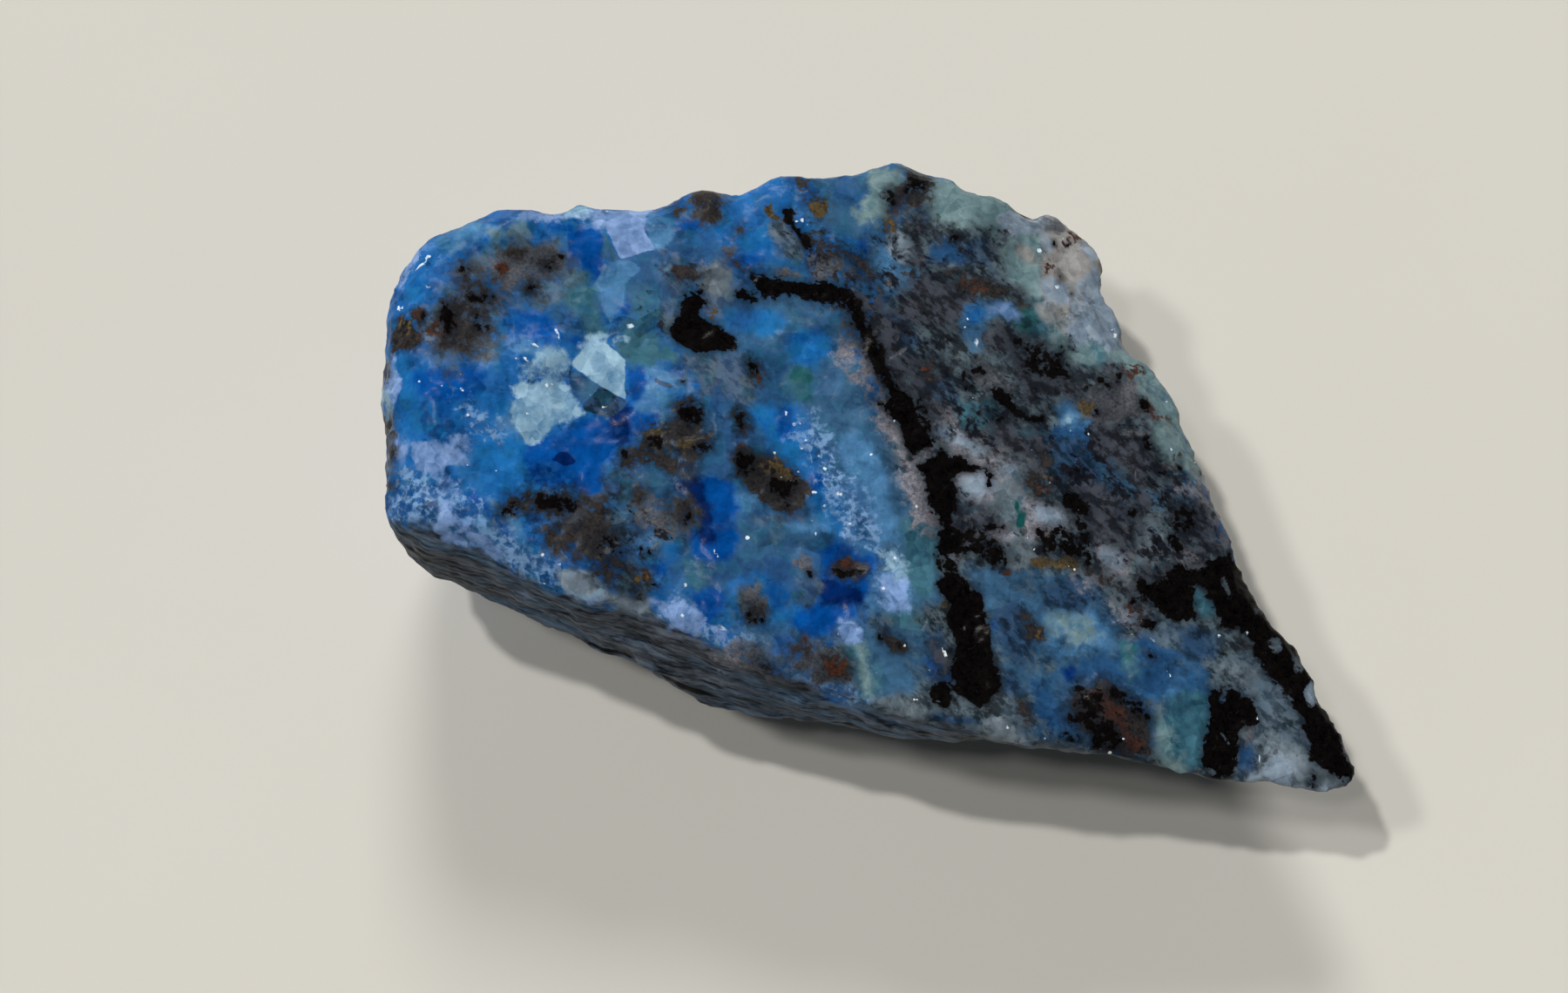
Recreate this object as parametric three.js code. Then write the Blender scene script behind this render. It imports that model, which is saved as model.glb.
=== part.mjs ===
// A hand-sized piece of raw azurite in quartz: one natural broken stone, blunt and thick at its left
// end, running out to a thin point at the right. Its upper face is almost flat, its front left wall
// bulges and is ribbed by thin rock layers, its front right edge overhangs, and its sole is flat.
// Millimetres, +X towards the point, +Y away from the viewer, +Z up.
import * as THREE from "three";

// ---- Driving dimensions, in millimetres -------------------------------------------------------

// The upper face is a tilted plane: its height over the middle, and how fast it falls and rises.
const FACE_HEIGHT = 19.6;
const FACE_FALL_TO_POINT = 0.155;
const FACE_RISE_TO_BACK = 0.03;
const FACE_CROWN = 0.7; // how far the middle of the face swells above that plane
const FACE_CROWN_REACH = 30;

const ORIGIN = new THREE.Vector2(0, 0);
const HEART = new THREE.Vector2(-3, 3); // the spot that every ring of the mesh shrinks towards

// The rim of the upper face, seen from above, anticlockwise from the lower left corner.
const FRONT_LEFT_RIM = [
  [-36.0, -3.2], [-34.0, -4.3], [-31.8, -4.6], [-29.9, -5.4], [-26.2, -6.7], [-24.6, -7.8],
  [-21.2, -8.9], [-16.8, -9.4], [-15.2, -10.6], [-12.8, -11.3], [-8.5, -13.2], [-4.2, -14.4],
  [-1.7, -14.9], [0.1, -16.2], [3.2, -17.2], [7.0, -18.0], [10.6, -18.6],
];
const FRONT_RIGHT_RIM = [
  [13.0, -18.9], [18.2, -19.2], [23.4, -20.2], [27.2, -20.7], [31.7, -21.1], [34.8, -21.2],
  [36.8, -20.8],
];
const POINT_RIM = [[37.6, -20.0], [37.1, -18.5], [35.7, -15.5], [34.6, -14.3]];
const RIGHT_RIM = [
  [34.3, -12.7], [33.9, -11.3], [31.9, -8.3], [29.5, -4.8], [27.9, 0.0], [26.8, 3.3], [25.7, 6.4],
  [24.4, 9.6], [23.0, 12.5],
];
const BLOCK_RIM = [
  [22.0, 13.7], [20.7, 14.4], [19.5, 17.4], [18.5, 19.7], [18.6, 22.2], [17.5, 24.5], [15.9, 25.6],
  [14.6, 26.5], [13.0, 25.4],
];
const BACK_RIM = [
  [10.1, 26.9], [7.9, 27.3], [6.4, 28.1], [4.9, 28.3], [2.1, 29.3], [0.7, 28.9], [-3.2, 27.9],
  [-6.5, 27.2], [-9.1, 26.1], [-10.6, 25.4], [-12.2, 26.0], [-14.2, 25.7], [-16.4, 24.1], [-19.1, 23.8],
  [-22.4, 23.6], [-24.9, 23.0], [-27.7, 23.3], [-30.2, 22.3], [-32.2, 21.7],
];
const BLUNT_RIM = [
  [-34.9, 19.9], [-36.5, 17.2], [-37.4, 13.5], [-37.3, 9.0], [-37.5, 7.4], [-36.9, 5.6], [-37.0, 1.8],
  [-37.0, -1.4],
];

// How the wall runs down from the rim, by compass angle about the heart. shoulder is how far the
// rim is rolled over and reach how far in that rounding starts; belly is the wall's greatest swell
// outside the rim, sole how far the sole's edge lies inside it, and bend 1 for a straight slope
// back under an overhang, or more for a wall that only turns in near the sole.
const WALL_STATIONS = [
  { angle: 0, shoulder: 0.9, reach: 2.2, belly: 1.2, sole: 5.0, bend: 2.2 },
  { angle: 40, shoulder: 0.8, reach: 2.0, belly: 1.6, sole: 4.5, bend: 2.6 },
  { angle: 80, shoulder: 0.9, reach: 2.0, belly: 2.0, sole: 4.0, bend: 3.0 },
  { angle: 130, shoulder: 1.1, reach: 2.6, belly: 1.8, sole: 4.0, bend: 3.0 },
  { angle: 160, shoulder: 2.2, reach: 4.0, belly: 1.6, sole: 4.0, bend: 3.0 },
  { angle: 184, shoulder: 2.6, reach: 4.5, belly: 1.4, sole: 4.5, bend: 2.6 },
  { angle: 205, shoulder: 2.2, reach: 4.0, belly: 0.8, sole: 5.5, bend: 2.1 },
  { angle: 232, shoulder: 1.4, reach: 3.0, belly: 2.1, sole: 4.5, bend: 2.6 },
  { angle: 262, shoulder: 0.9, reach: 2.0, belly: 1.5, sole: 4.5, bend: 2.4 },
  { angle: 283, shoulder: 0.6, reach: 1.5, belly: 1.2, sole: 6.0, bend: 1.9 },
  { angle: 305, shoulder: 0.5, reach: 1.2, belly: 0.0, sole: 9.0, bend: 1.1 },
  { angle: 330, shoulder: 0.6, reach: 1.4, belly: 0.0, sole: 15.0, bend: 1.0 },
  { angle: 342, shoulder: 0.8, reach: 1.8, belly: 0.4, sole: 9.0, bend: 1.4 },
];

// Flat breaks of the wall. Each faces a compass angle, leans over the ground by so many degrees,
// and lies at a distance from the heart at a height.
const WALL_BREAKS = [
  { facing: 138, lean: 9, distance: 29.6, height: 12 }, // back left
  { facing: 128, lean: 42, distance: 27.6, height: 3.5 }, // back left foot
  { facing: 98, lean: 4, distance: 25.4, height: 10 }, // back
  { facing: 84, lean: 46, distance: 24.2, height: 2.5 }, // back foot
  { facing: 64, lean: 12, distance: 26.0, height: 10 }, // back right
  { facing: 48, lean: 36, distance: 25.0, height: 5 }, // block foot
  { facing: 27, lean: 12, distance: 25.6, height: 13 }, // right wall
  { facing: 14, lean: 48, distance: 23.6, height: 3 }, // right foot
  { facing: 332, lean: 46, distance: 45.0, height: 12 }, // under the point
  { facing: 265.4, lean: 27, distance: 20.8, height: 16 }, // front right overhang
  { facing: 262, lean: 44, distance: 17.0, height: 3 }, // front foot
  { facing: 238, lean: 38, distance: 14.6, height: 4 }, // front left foot
  { facing: 200, lean: 44, distance: 28.4, height: 3 }, // left foot
  { facing: 178, lean: 5, distance: 34.2, height: 10 }, // left wall
  { facing: 158, lean: 40, distance: 31.0, height: 3.5 }, // upper left foot
];
// Shares of the wall's height, from the rim down.
const BREAK_START = 0.06; // the breaks leave the wall above this alone
const BREAK_FULL = 0.2; // and are whole below this
const CORNERS_GONE = 0.4; // the rim's small corners have faded out here
const BELLY_END = 0.8; // the belly's swell has run out here
const CORNER_SPREAD = 0.022; // share of the rim's length over which its corners are evened out
const SIDEWAYS = 0.3; // a break stops where the wall turns away from it, at this cosine

// Broad lumps and hollows of the upper face: where, how wide, how high.
const LUMPS = [
  { at: [-12.7, 24.4], radius: 1.9, rise: 0.7 }, // brown nodule on the back rim
  { at: [-28.2, 21.9], radius: 1.2, rise: 0.4 }, // small nodule left of it
  { at: [-35.6, 10.9], radius: 1.6, rise: 0.5 }, // brown nodule on the left shoulder
  { at: [-13.5, 4.0], radius: 7.0, rise: 0.5 }, // swell of blue crystal
  { at: [-22.0, 6.5], radius: 3.5, rise: -0.5 }, // dip below the quartz patch
  { at: [-24.6, 10.6], radius: 3.0, rise: 0.45 }, // quartz patch
  { at: [8.5, 5.0], radius: 4.0, rise: -0.4 }, // hollow beside the black band
  { at: [7.3, -9.5], radius: 2.2, rise: -0.5 }, // pit in the black blade
  { at: [18.6, -15.4], radius: 3.4, rise: 0.35 }, // swell over the rust lens
  { at: [11.4, 1.5], radius: 2.2, rise: -0.4 }, // hollow at the green mark
  { at: [26.6, -6.5], radius: 3.2, rise: 0.4 }, // ridge of the right rim
  { at: [27.8, -14.8], radius: 2.0, rise: -0.45 }, // pit near the point
];

// Flat crystal faces broken across the upper face: centre, half width, half length, the direction
// of the length in degrees, the slope of the face along X and Y, and its depth below the stone.
const CRYSTAL_FACES = [
  { at: [-18.8, 21.3], half: [1.9, 1.8], turn: 20, slope: [-0.2, 0.05], depth: 0.1 }, // lilac face
  { at: [-19.9, 16.6], half: [1.5, 2.7], turn: 15, slope: [0.18, 0.05], depth: 0.15 }, // long aqua face
  { at: [-20.9, 10.0], half: [2.1, 2.3], turn: -30, slope: [0.1, -0.2], depth: 0.15 }, // grey-green face
  { at: [-20.6, 7.4], half: [1.6, 1.3], turn: 25, slope: [-0.22, 0.2], depth: 0.3 }, // slate face
  { at: [-22.3, 8.7], half: [1.2, 1.5], turn: -35, slope: [0.22, 0.1], depth: 0.3 }, // dark green face
  { at: [16.6, 19.6], half: [1.3, 1.2], turn: 10, slope: [0.16, 0.1], depth: 0.1 }, // block face
  { at: [-23.6, 4.2], half: [1.7, 1.1], turn: -20, slope: [0.1, 0.2], depth: 0.2 }, // navy face
  { at: [-1.4, -3.0], half: [2.6, 1.4], turn: -55, slope: [0.12, 0.18], depth: 0.15 }, // sparkling face
  { at: [-14.6, -6.8], half: [1.8, 1.3], turn: -15, slope: [0.05, -0.18], depth: 0.1 }, // pale blue face
];
const CRYSTAL_EDGE = 1.35; // the share of its half size at which a crystal face has run out

// A quartz block stands lower than the face, past a broken step between these two spots.
const STEP_FROM = new THREE.Vector2(12.4, 26.4);
const STEP_TO = new THREE.Vector2(20.6, 12.6);
const STEP_DROP = 1.1;
const STEP_WIDTH = 0.8;

// Rock layers stand out of the front left wall as ledges that run along it.
const LAYER_THICKNESS = 4.2;
const LAYER_RELIEF = 0.55;
const LAYER_CENTRE_ANGLE = 232;
const LAYER_SPREAD_ANGLE = 58;

// Roughness of the broken surface: the size of its lumps and their height. seed keeps one kind of
// roughness from repeating another.
const COARSE = { size: 8.0, height: 0.42, seed: 88 };
const MEDIUM = { size: 3.6, height: 0.26, seed: 18 };
const FINE = { size: 1.5, height: 0.14, seed: 3 };
const RIM_JAG = { size: 2.4, height: 0.28, seed: 7 };
const WALL_LUMPS = { size: 9.0, height: 0.9, seed: 0 };
const SOLE_EDGE = { size: 8.0, height: 1.4, seed: 40 };
const LAYER_WAVER = { size: 12.0, height: 2.0, seed: 84 }; // height is in radians of the layers' wave

// Mesh: columns around the rim, levels down the wall and rings across the upper face.
const COLUMNS = 168;
const WALL_LEVELS = 14;
const FACE_RINGS = 23;
const FEWEST_IN_RING = 6;
const RIM_DIVISIONS = 1600; // steps in which the length of the rim is measured

const STONE_BLUE = 0x2d6390;

// ---- Noise ------------------------------------------------------------------------------------

// A repeatable random number from 0 to 1 for a point of the integer lattice.
function latticeValue(x, y, z) {
  let h = Math.imul(x, 374761393) ^ Math.imul(y, 668265263) ^ Math.imul(z, 1274126177);
  h = Math.imul(h ^ (h >>> 13), 1103515245);
  h ^= h >>> 16;
  return (h >>> 0) / 4294967295;
}

// Smooth noise from -1 to 1, with lumps about one unit across.
function noise(x, y, z) {
  const cell = [x, y, z].map(Math.floor);
  const [u, v, w] = [x, y, z].map((c, i) => THREE.MathUtils.smootherstep(c - cell[i], 0, 1));
  const corner = (i, j, k) => latticeValue(cell[0] + i, cell[1] + j, cell[2] + k);
  const lerp = THREE.MathUtils.lerp;
  const slab = (k) =>
    lerp(lerp(corner(0, 0, k), corner(1, 0, k), u), lerp(corner(0, 1, k), corner(1, 1, k), u), v);
  return 2 * lerp(slab(0), slab(1), w) - 1;
}

// Noise of a named roughness, at a place in millimetres.
function rough({ size, height, seed }, x, y, z = 0) {
  return height * noise(x / size, y / size, (z + seed) / size);
}

// ---- Rim and wall -----------------------------------------------------------------------------

function makeRimCurve() {
  const front = [...FRONT_LEFT_RIM, ...FRONT_RIGHT_RIM, ...POINT_RIM];
  const back = [...RIGHT_RIM, ...BLOCK_RIM, ...BACK_RIM, ...BLUNT_RIM];
  const points = [...front, ...back].map(([x, y]) => new THREE.Vector3(x, y, 0));
  const curve = new THREE.CatmullRomCurve3(points, true, "centripetal");
  curve.arcLengthDivisions = RIM_DIVISIONS;
  return curve;
}

const rimCurve = makeRimCurve();

// The rim at a share of its whole length, with its distance from the heart and its compass angle.
function rimAt(share) {
  const p = rimCurve.getPointAt(share % 1);
  const out = new THREE.Vector2(p.x - HEART.x, p.y - HEART.y);
  const angle = THREE.MathUtils.radToDeg(Math.atan2(out.y, out.x));
  return { radius: out.length(), direction: out.normalize(), angle: (angle + 360) % 360 };
}

// The wall's values at a compass angle, blended between the two stations around it.
function wallAt(angle) {
  const count = WALL_STATIONS.length;
  let i = count - 1;
  while (i > 0 && WALL_STATIONS[i].angle > angle) i--;
  const a = WALL_STATIONS[i];
  const b = WALL_STATIONS[(i + 1) % count];
  const span = (b.angle - a.angle + 360) % 360;
  const w = THREE.MathUtils.smoothstep((angle - a.angle) / span, 0, 1);
  const blend = (key) => THREE.MathUtils.lerp(a[key], b[key], w);
  return {
    shoulder: blend("shoulder"), reach: blend("reach"), belly: blend("belly"), sole: blend("sole"),
    bend: blend("bend"),
  };
}

// ---- Upper face -------------------------------------------------------------------------------

// A smooth hump, 1 at its centre and 0 from its edge outwards.
function hump(distance, radius) {
  const d = Math.min(distance / radius, 1);
  return (1 - d * d) ** 2;
}

// How far a place lies past the broken step, as a share from 0 (upper face) to 1 (quartz block).
function pastStep(x, y) {
  const along = STEP_TO.clone().sub(STEP_FROM).normalize();
  const side = (y - STEP_FROM.y) * along.x - (x - STEP_FROM.x) * along.y;
  return THREE.MathUtils.smoothstep(side, -STEP_WIDTH, STEP_WIDTH);
}

// The upper face before its crystal faces are broken.
function faceHeight(x, y) {
  let z = FACE_HEIGHT - FACE_FALL_TO_POINT * x + FACE_RISE_TO_BACK * y;
  z += FACE_CROWN * hump(Math.hypot(x - HEART.x, y - HEART.y), FACE_CROWN_REACH);
  z -= STEP_DROP * pastStep(x, y);
  for (const { at, radius, rise } of LUMPS) z += rise * hump(Math.hypot(x - at[0], y - at[1]), radius);
  return z;
}

// Lowers a height on to any crystal face that holds the place.
function breakCrystalFaces(x, y, z) {
  for (const { at, half, turn, slope, depth } of CRYSTAL_FACES) {
    const [dx, dy] = [x - at[0], y - at[1]];
    const turned = new THREE.Vector2(dx, dy).rotateAround(ORIGIN, THREE.MathUtils.degToRad(-turn));
    const inside = Math.max(Math.abs(turned.x) / half[0], Math.abs(turned.y) / half[1]);
    const plane = faceHeight(at[0], at[1]) - depth + slope[0] * dx + slope[1] * dy;
    const kept = THREE.MathUtils.smoothstep(inside, 1, CRYSTAL_EDGE);
    z = THREE.MathUtils.lerp(Math.min(plane, z), z, kept);
  }
  return z;
}

// A point of the upper face: scale runs from 0 at the heart to 1 at the rim.
function facePoint(share, scale) {
  const { radius, direction, angle } = rimAt(share);
  const { shoulder, reach } = wallAt(angle);
  const jag = rough(RIM_JAG, direction.x * radius, direction.y * radius) * scale;
  const x = HEART.x + direction.x * (radius * scale + jag);
  const y = HEART.y + direction.y * (radius * scale + jag);
  const bumps = rough(COARSE, x, y) + rough(MEDIUM, x, y) + rough(FINE, x, y);
  const z = breakCrystalFaces(x, y, faceHeight(x, y) + bumps);
  const fromRim = radius * (1 - scale);
  const roll = Math.max(0, 1 - fromRim / reach);
  return new THREE.Vector3(x, y, z - shoulder * roll * roll);
}

// ---- Wall and sole ----------------------------------------------------------------------------

// How strongly the rock layers show at a compass angle, from 0 to 1.
function layering(angle) {
  return hump(Math.abs(angle - LAYER_CENTRE_ANGLE), LAYER_SPREAD_ANGLE);
}

// The rim's radius without its small corners.
function evenRadius(share) {
  const nearby = [-1, -0.5, 0, 0.5, 1].map((step) => rimAt(share + 1 + step * CORNER_SPREAD).radius);
  return nearby.reduce((sum, radius) => sum + radius, 0) / nearby.length;
}

// The radius that the wall's flat breaks leave at a compass angle and height.
function brokenRadius(angle, z) {
  let radius = Infinity;
  for (const { facing, lean, distance, height } of WALL_BREAKS) {
    const towards = Math.cos(THREE.MathUtils.degToRad(angle - facing));
    if (towards < SIDEWAYS) continue;
    const reach = distance + Math.tan(THREE.MathUtils.degToRad(lean)) * (z - height);
    radius = Math.min(radius, reach / towards);
  }
  return radius;
}

// A point of the wall: drop runs from 0 at the rim to 1 at the sole's edge.
function wallPoint(share, drop) {
  const { direction, angle } = rimAt(share);
  const { belly, sole, bend } = wallAt(angle);
  const { lerp, smoothstep } = THREE.MathUtils;
  const rim = facePoint(share, 1);
  const z = rim.z * (1 - drop);
  const rimRadius = Math.hypot(rim.x - HEART.x, rim.y - HEART.y);
  const swell = Math.sin(Math.PI * Math.min(drop / BELLY_END, 1));
  const layersDown = (2 * Math.PI * (rim.z - z)) / LAYER_THICKNESS;
  const layer = Math.sin(layersDown + rough(LAYER_WAVER, rim.x, rim.y));
  let radius = lerp(rimRadius, evenRadius(share), smoothstep(drop, 0, CORNERS_GONE));
  radius += belly * swell - sole * drop ** bend;
  radius += LAYER_RELIEF * layering(angle) * layer * swell;
  radius += rough(WALL_LUMPS, rim.x, rim.y, z) * swell + rough(SOLE_EDGE, rim.x, rim.y) * drop ** 3;
  const cut = Math.min(radius, brokenRadius(angle, z));
  radius = lerp(radius, cut, smoothstep(drop, BREAK_START, BREAK_FULL));
  const bumps = rough(MEDIUM, rim.x, rim.y, z) + rough(FINE, rim.x, rim.y, z);
  radius += bumps * smoothstep(drop, 0, BREAK_FULL);
  return new THREE.Vector3(HEART.x + direction.x * radius, HEART.y + direction.y * radius, z);
}

// ---- Mesh -------------------------------------------------------------------------------------

// A growing closed mesh: its points, and the triangles between rings of them.
class RingMesh {
  positions = [];
  triangles = [];

  addPoint(p) {
    this.positions.push(p.x, p.y, p.z);
    return this.positions.length / 3 - 1;
  }

  addRing(count, pointAt) {
    return Array.from({ length: count }, (_, i) => this.addPoint(pointAt(i / count)));
  }

  // Joins a ring to the next one up or in, whatever their counts.
  stitch(lower, upper) {
    let i = 0;
    let j = 0;
    while (i < lower.length || j < upper.length) {
      const a = lower[i % lower.length];
      const b = upper[j % upper.length];
      const lowerIsBehind = (i + 1) * upper.length <= (j + 1) * lower.length;
      if (lowerIsBehind) {
        i += 1;
        this.triangles.push(a, lower[i % lower.length], b);
      } else {
        j += 1;
        this.triangles.push(a, upper[j % upper.length], b);
      }
    }
  }

  fan(ring, centre) {
    ring.forEach((a, i) => this.triangles.push(a, ring[(i + 1) % ring.length], centre));
  }

  toGeometry() {
    const geometry = new THREE.BufferGeometry();
    geometry.setAttribute("position", new THREE.Float32BufferAttribute(this.positions, 3));
    geometry.setIndex(this.triangles);
    return geometry;
  }
}

function makeStoneGeometry() {
  const mesh = new RingMesh();
  const sole = mesh.addRing(COLUMNS, (share) => wallPoint(share, 1));
  const soleCentre = mesh.addPoint(new THREE.Vector3(HEART.x, HEART.y, 0));
  mesh.fan([...sole].reverse(), soleCentre);
  let last = sole;
  for (let level = WALL_LEVELS - 1; level >= 1; level--) {
    const ring = mesh.addRing(COLUMNS, (share) => wallPoint(share, level / WALL_LEVELS));
    mesh.stitch(last, ring);
    last = ring;
  }
  for (let k = FACE_RINGS; k >= 1; k--) {
    const scale = k / FACE_RINGS;
    const count = Math.max(FEWEST_IN_RING, Math.round(COLUMNS * scale));
    const ring = mesh.addRing(count, (share) => facePoint(share, scale));
    mesh.stitch(last, ring);
    last = ring;
  }
  mesh.fan(last, mesh.addPoint(facePoint(0, 0)));
  return mesh.toGeometry();
}

// Puts the origin under the middle of the stone's box, on the surface that it rests on.
function centreOnSole(geometry) {
  geometry.computeBoundingBox();
  const middle = geometry.boundingBox.getCenter(new THREE.Vector3());
  geometry.translate(-middle.x, -middle.y, -geometry.boundingBox.min.z);
}

const stoneGeometry = makeStoneGeometry();
centreOnSole(stoneGeometry);
stoneGeometry.computeVertexNormals();

const stone = new THREE.Mesh(
  stoneGeometry,
  new THREE.MeshStandardMaterial({ color: STONE_BLUE, roughness: 0.35, metalness: 0, flatShading: true }),
);
stone.name = "azurite_stone";

const rawAzurite = new THREE.Group();
rawAzurite.add(stone);

export default rawAzurite;
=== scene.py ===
"""Raw azurite in quartz, a hand-sized piece of natural stone on a plain pale floor.

One piece, the stone's dressed surface, replaces the solid azurite_stone. Its minerals are drawn below
as shapes, in the pixels of the 1800 x 1140 frame. Each vertex is projected into that frame, and the
stone's material turns its distance to the shapes into colour and roughness.
"""
import math

import bmesh
import bpy
import numpy as np
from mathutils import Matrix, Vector


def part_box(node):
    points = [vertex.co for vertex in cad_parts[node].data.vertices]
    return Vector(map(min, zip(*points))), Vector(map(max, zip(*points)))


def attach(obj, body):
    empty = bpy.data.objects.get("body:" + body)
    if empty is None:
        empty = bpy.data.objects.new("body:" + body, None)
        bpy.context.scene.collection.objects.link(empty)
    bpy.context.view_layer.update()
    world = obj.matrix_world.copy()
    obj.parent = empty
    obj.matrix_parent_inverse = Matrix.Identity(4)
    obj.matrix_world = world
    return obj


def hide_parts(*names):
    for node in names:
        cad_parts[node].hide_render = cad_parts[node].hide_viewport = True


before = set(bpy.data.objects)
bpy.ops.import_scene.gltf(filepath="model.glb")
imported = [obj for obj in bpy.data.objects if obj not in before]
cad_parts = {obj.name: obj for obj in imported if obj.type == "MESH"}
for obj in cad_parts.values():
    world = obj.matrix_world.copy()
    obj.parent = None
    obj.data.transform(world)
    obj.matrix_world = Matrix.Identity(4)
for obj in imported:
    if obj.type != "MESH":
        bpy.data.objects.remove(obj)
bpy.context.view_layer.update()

MM = 0.001

# ---- The view: millimetres in the stone's own frame, and pixels of the frame ------------------

FRAME_CENTRE = np.array([900.0, 570.0])
FRAME_WIDTH_PX = 1800
FOCAL_PX = 4200.0
SENSOR_MM = 36.0
AIM = np.array([-6.25, -4.405, 20.63])
ELEVATION = math.radians(68)
EYE_DISTANCE = 280.0
FORWARD = np.array([0.0, math.cos(ELEVATION), -math.sin(ELEVATION)])
UP = np.array([0.0, math.sin(ELEVATION), math.cos(ELEVATION)])
RIGHT = np.array([1.0, 0.0, 0.0])
EYE = AIM - EYE_DISTANCE * FORWARD
PX_PER_MM = FOCAL_PX / EYE_DISTANCE

# ---- The stone's mesh, in millimetres ---------------------------------------------------------

VOXEL = 0.48
SMOOTHING_ROUNDS = 4
FINISHING_ROUNDS = 2
SMOOTHING_SHARES = (0.5, -0.48)  # of the way to the neighbours' middle, and back out again
SEEN_SIDE = 0.2  # faces turned at least this much towards the view are refined
LEFT_TRIM = 0.3  # the left rim is worn in by this much at its end
LEFT_TRIM_START = -30.0
LEFT_TRIM_END = -35.0
SOLE_FLAT = 0.1  # the surface has no relief up to this height, so that the sole stays flat
SOLE_FREE = 1.2  # the height from which it has all its relief

# Each kind of relief: how far it stands out, and the size of its lumps.
LUMPS = (0.10, 1.9)
GRAINS = (0.05, 0.55)
PLATES = (0.17, 2.6)
CRAGS = (0.12, 1.4)
LAYERS = (0.16, 0.8)
PLATE_FIELD = 7.0  # the size of the fields that have plates
PLATE_FIELD_EDGE = (-0.2, 0.6)
PLATE_JITTER = 0.4  # how far a plate's middle strays, in shares of its size
OCTAVE_FADE = 0.55
WALL_TURN = (0.35, 0.8)  # the normal's upward part: a wall below the first, none above the second

# How far the minerals stray, in pixels of the frame, and the size of the lumps that move them.
EDGE_RIPPLE = (2.2, 1.1)
HIDDEN_DRIFT = (75, 9.0)
HIDDEN_RIPPLE = (38, 2.8)
HIDDEN_TURN = (-0.25, 0.35)  # the normal's part along the view: seen up to the first, then hidden


# ---- Drawing the minerals ---------------------------------------------------------------------
# Every shape gives a depth at a point: 1 or more well inside it, -1 or less well outside. soft is
# the width of its border in millimetres and full how solid the mineral gets, from 0 to 1.

NOTHING = -6.0  # the depth far outside
BORDER_REACH = 5.0  # further out than this many border widths, the depth is NOTHING
CRISP = 0.1  # a shape with a softer border than this lets its edge wander with the rock


class Shape:
    """One patch of a mineral, drawn in pixels of the frame.

    Each kind gives its box, and inside_px, how many pixels inside its outline each point lies.
    """

    def __init__(self, soft, full):
        self.soft = soft
        self.cap = 2 * full - 1 if full < 1 else -NOTHING

    def depth(self, px):
        """How deep inside the shape each point lies, in border widths, capped by how full it is."""
        reach = self.soft * PX_PER_MM * BORDER_REACH
        low, high = self.box()
        near = np.all((px > low - reach) & (px < high + reach), axis=1)
        found = np.full(len(px), NOTHING)
        inside = self.inside_px(px[near]) / (self.soft * PX_PER_MM)
        found[near] = np.clip(inside, NOTHING, self.cap)
        return found


class Area(Shape):
    """A closed outline."""

    def __init__(self, soft, full, *outline):
        super().__init__(soft, full)
        self.outline = np.array(outline, float)

    def box(self):
        return self.outline.min(axis=0), self.outline.max(axis=0)

    def inside_px(self, px):
        nearest = np.full(len(px), np.inf)
        inside = np.zeros(len(px), bool)
        for start, end in zip(self.outline, np.roll(self.outline, -1, axis=0)):
            nearest = np.minimum(nearest, segment_distance(px, start, end))
            if start[1] != end[1]:
                crosses = (start[1] > px[:, 1]) != (end[1] > px[:, 1])
                share = (px[:, 1] - start[1]) / (end[1] - start[1])
                inside ^= crosses & (px[:, 0] < start[0] + share * (end[0] - start[0]))
        return np.where(inside, nearest, -nearest)


class Spot(Shape):
    """An ellipse: centre, half width, half height, if that is another, and turn in degrees."""

    def __init__(self, soft, full, x, y, half_width, half_height=None, turn=0):
        super().__init__(soft, full)
        self.centre = np.array([x, y], float)
        self.half = np.array([half_width, half_height or half_width], float)
        self.turn = math.radians(turn)

    def box(self):
        return self.centre - self.half.max(), self.centre + self.half.max()

    def inside_px(self, px):
        cos, sin = math.cos(self.turn), math.sin(self.turn)
        off = px - self.centre
        along = np.stack([off[:, 0] * cos + off[:, 1] * sin, off[:, 1] * cos - off[:, 0] * sin], 1)
        return (1 - np.linalg.norm(along / self.half, axis=1)) * self.half.min()


class Streak(Shape):
    """A line of one width through points."""

    def __init__(self, soft, full, width, *points):
        super().__init__(soft, full)
        self.width = width
        self.points = np.array(points, float)

    def box(self):
        return self.points.min(axis=0) - self.width, self.points.max(axis=0) + self.width

    def inside_px(self, px):
        nearest = np.full(len(px), np.inf)
        for start, end in zip(self.points[:-1], self.points[1:]):
            nearest = np.minimum(nearest, segment_distance(px, start, end))
        return self.width / 2 - nearest


def spots(soft, full, *places):
    """Ellipses with the same border and strength."""
    return [Spot(soft, full, *place) for place in places]


def segment_distance(px, start, end):
    """Distance from each point to the line between two ends, in pixels."""
    along = end - start
    share = np.clip((px - start) @ along / max(along @ along, 1e-9), 0, 1)
    return np.linalg.norm(px - start - share[:, None] * along, axis=1)


DUSK = [
    Area(1.6, 1, (985, 262), (1040, 190), (1150, 215), (1270, 235), (1320, 380), (1420, 600), (1600, 880),
        (1560, 960), (1250, 900), (1000, 850), (900, 740), (985, 712), (1010, 610), (985, 480),
        (1000, 360)),
    Area(1.2, 0.7, (858, 720), (905, 716), (960, 735), (990, 800), (900, 790), (855, 760)),
]
VEIL = [
    Area(1.6, 1, (740, 250), (800, 262), (860, 300), (985, 262), (1000, 400), (985, 480), (1010, 610),
        (985, 712), (900, 740), (800, 700), (720, 640), (700, 560), (745, 470), (800, 460), (760, 400),
        (700, 330)),
    Area(1.4, 0.8, (930, 200), (1010, 190), (1050, 240), (1000, 300), (940, 270)),
    Area(1.4, 0.95, (1180, 790), (1200, 770), (1250, 755), (1330, 735), (1380, 760), (1420, 800),
        (1360, 870), (1240, 860), (1180, 850)),
]
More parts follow.
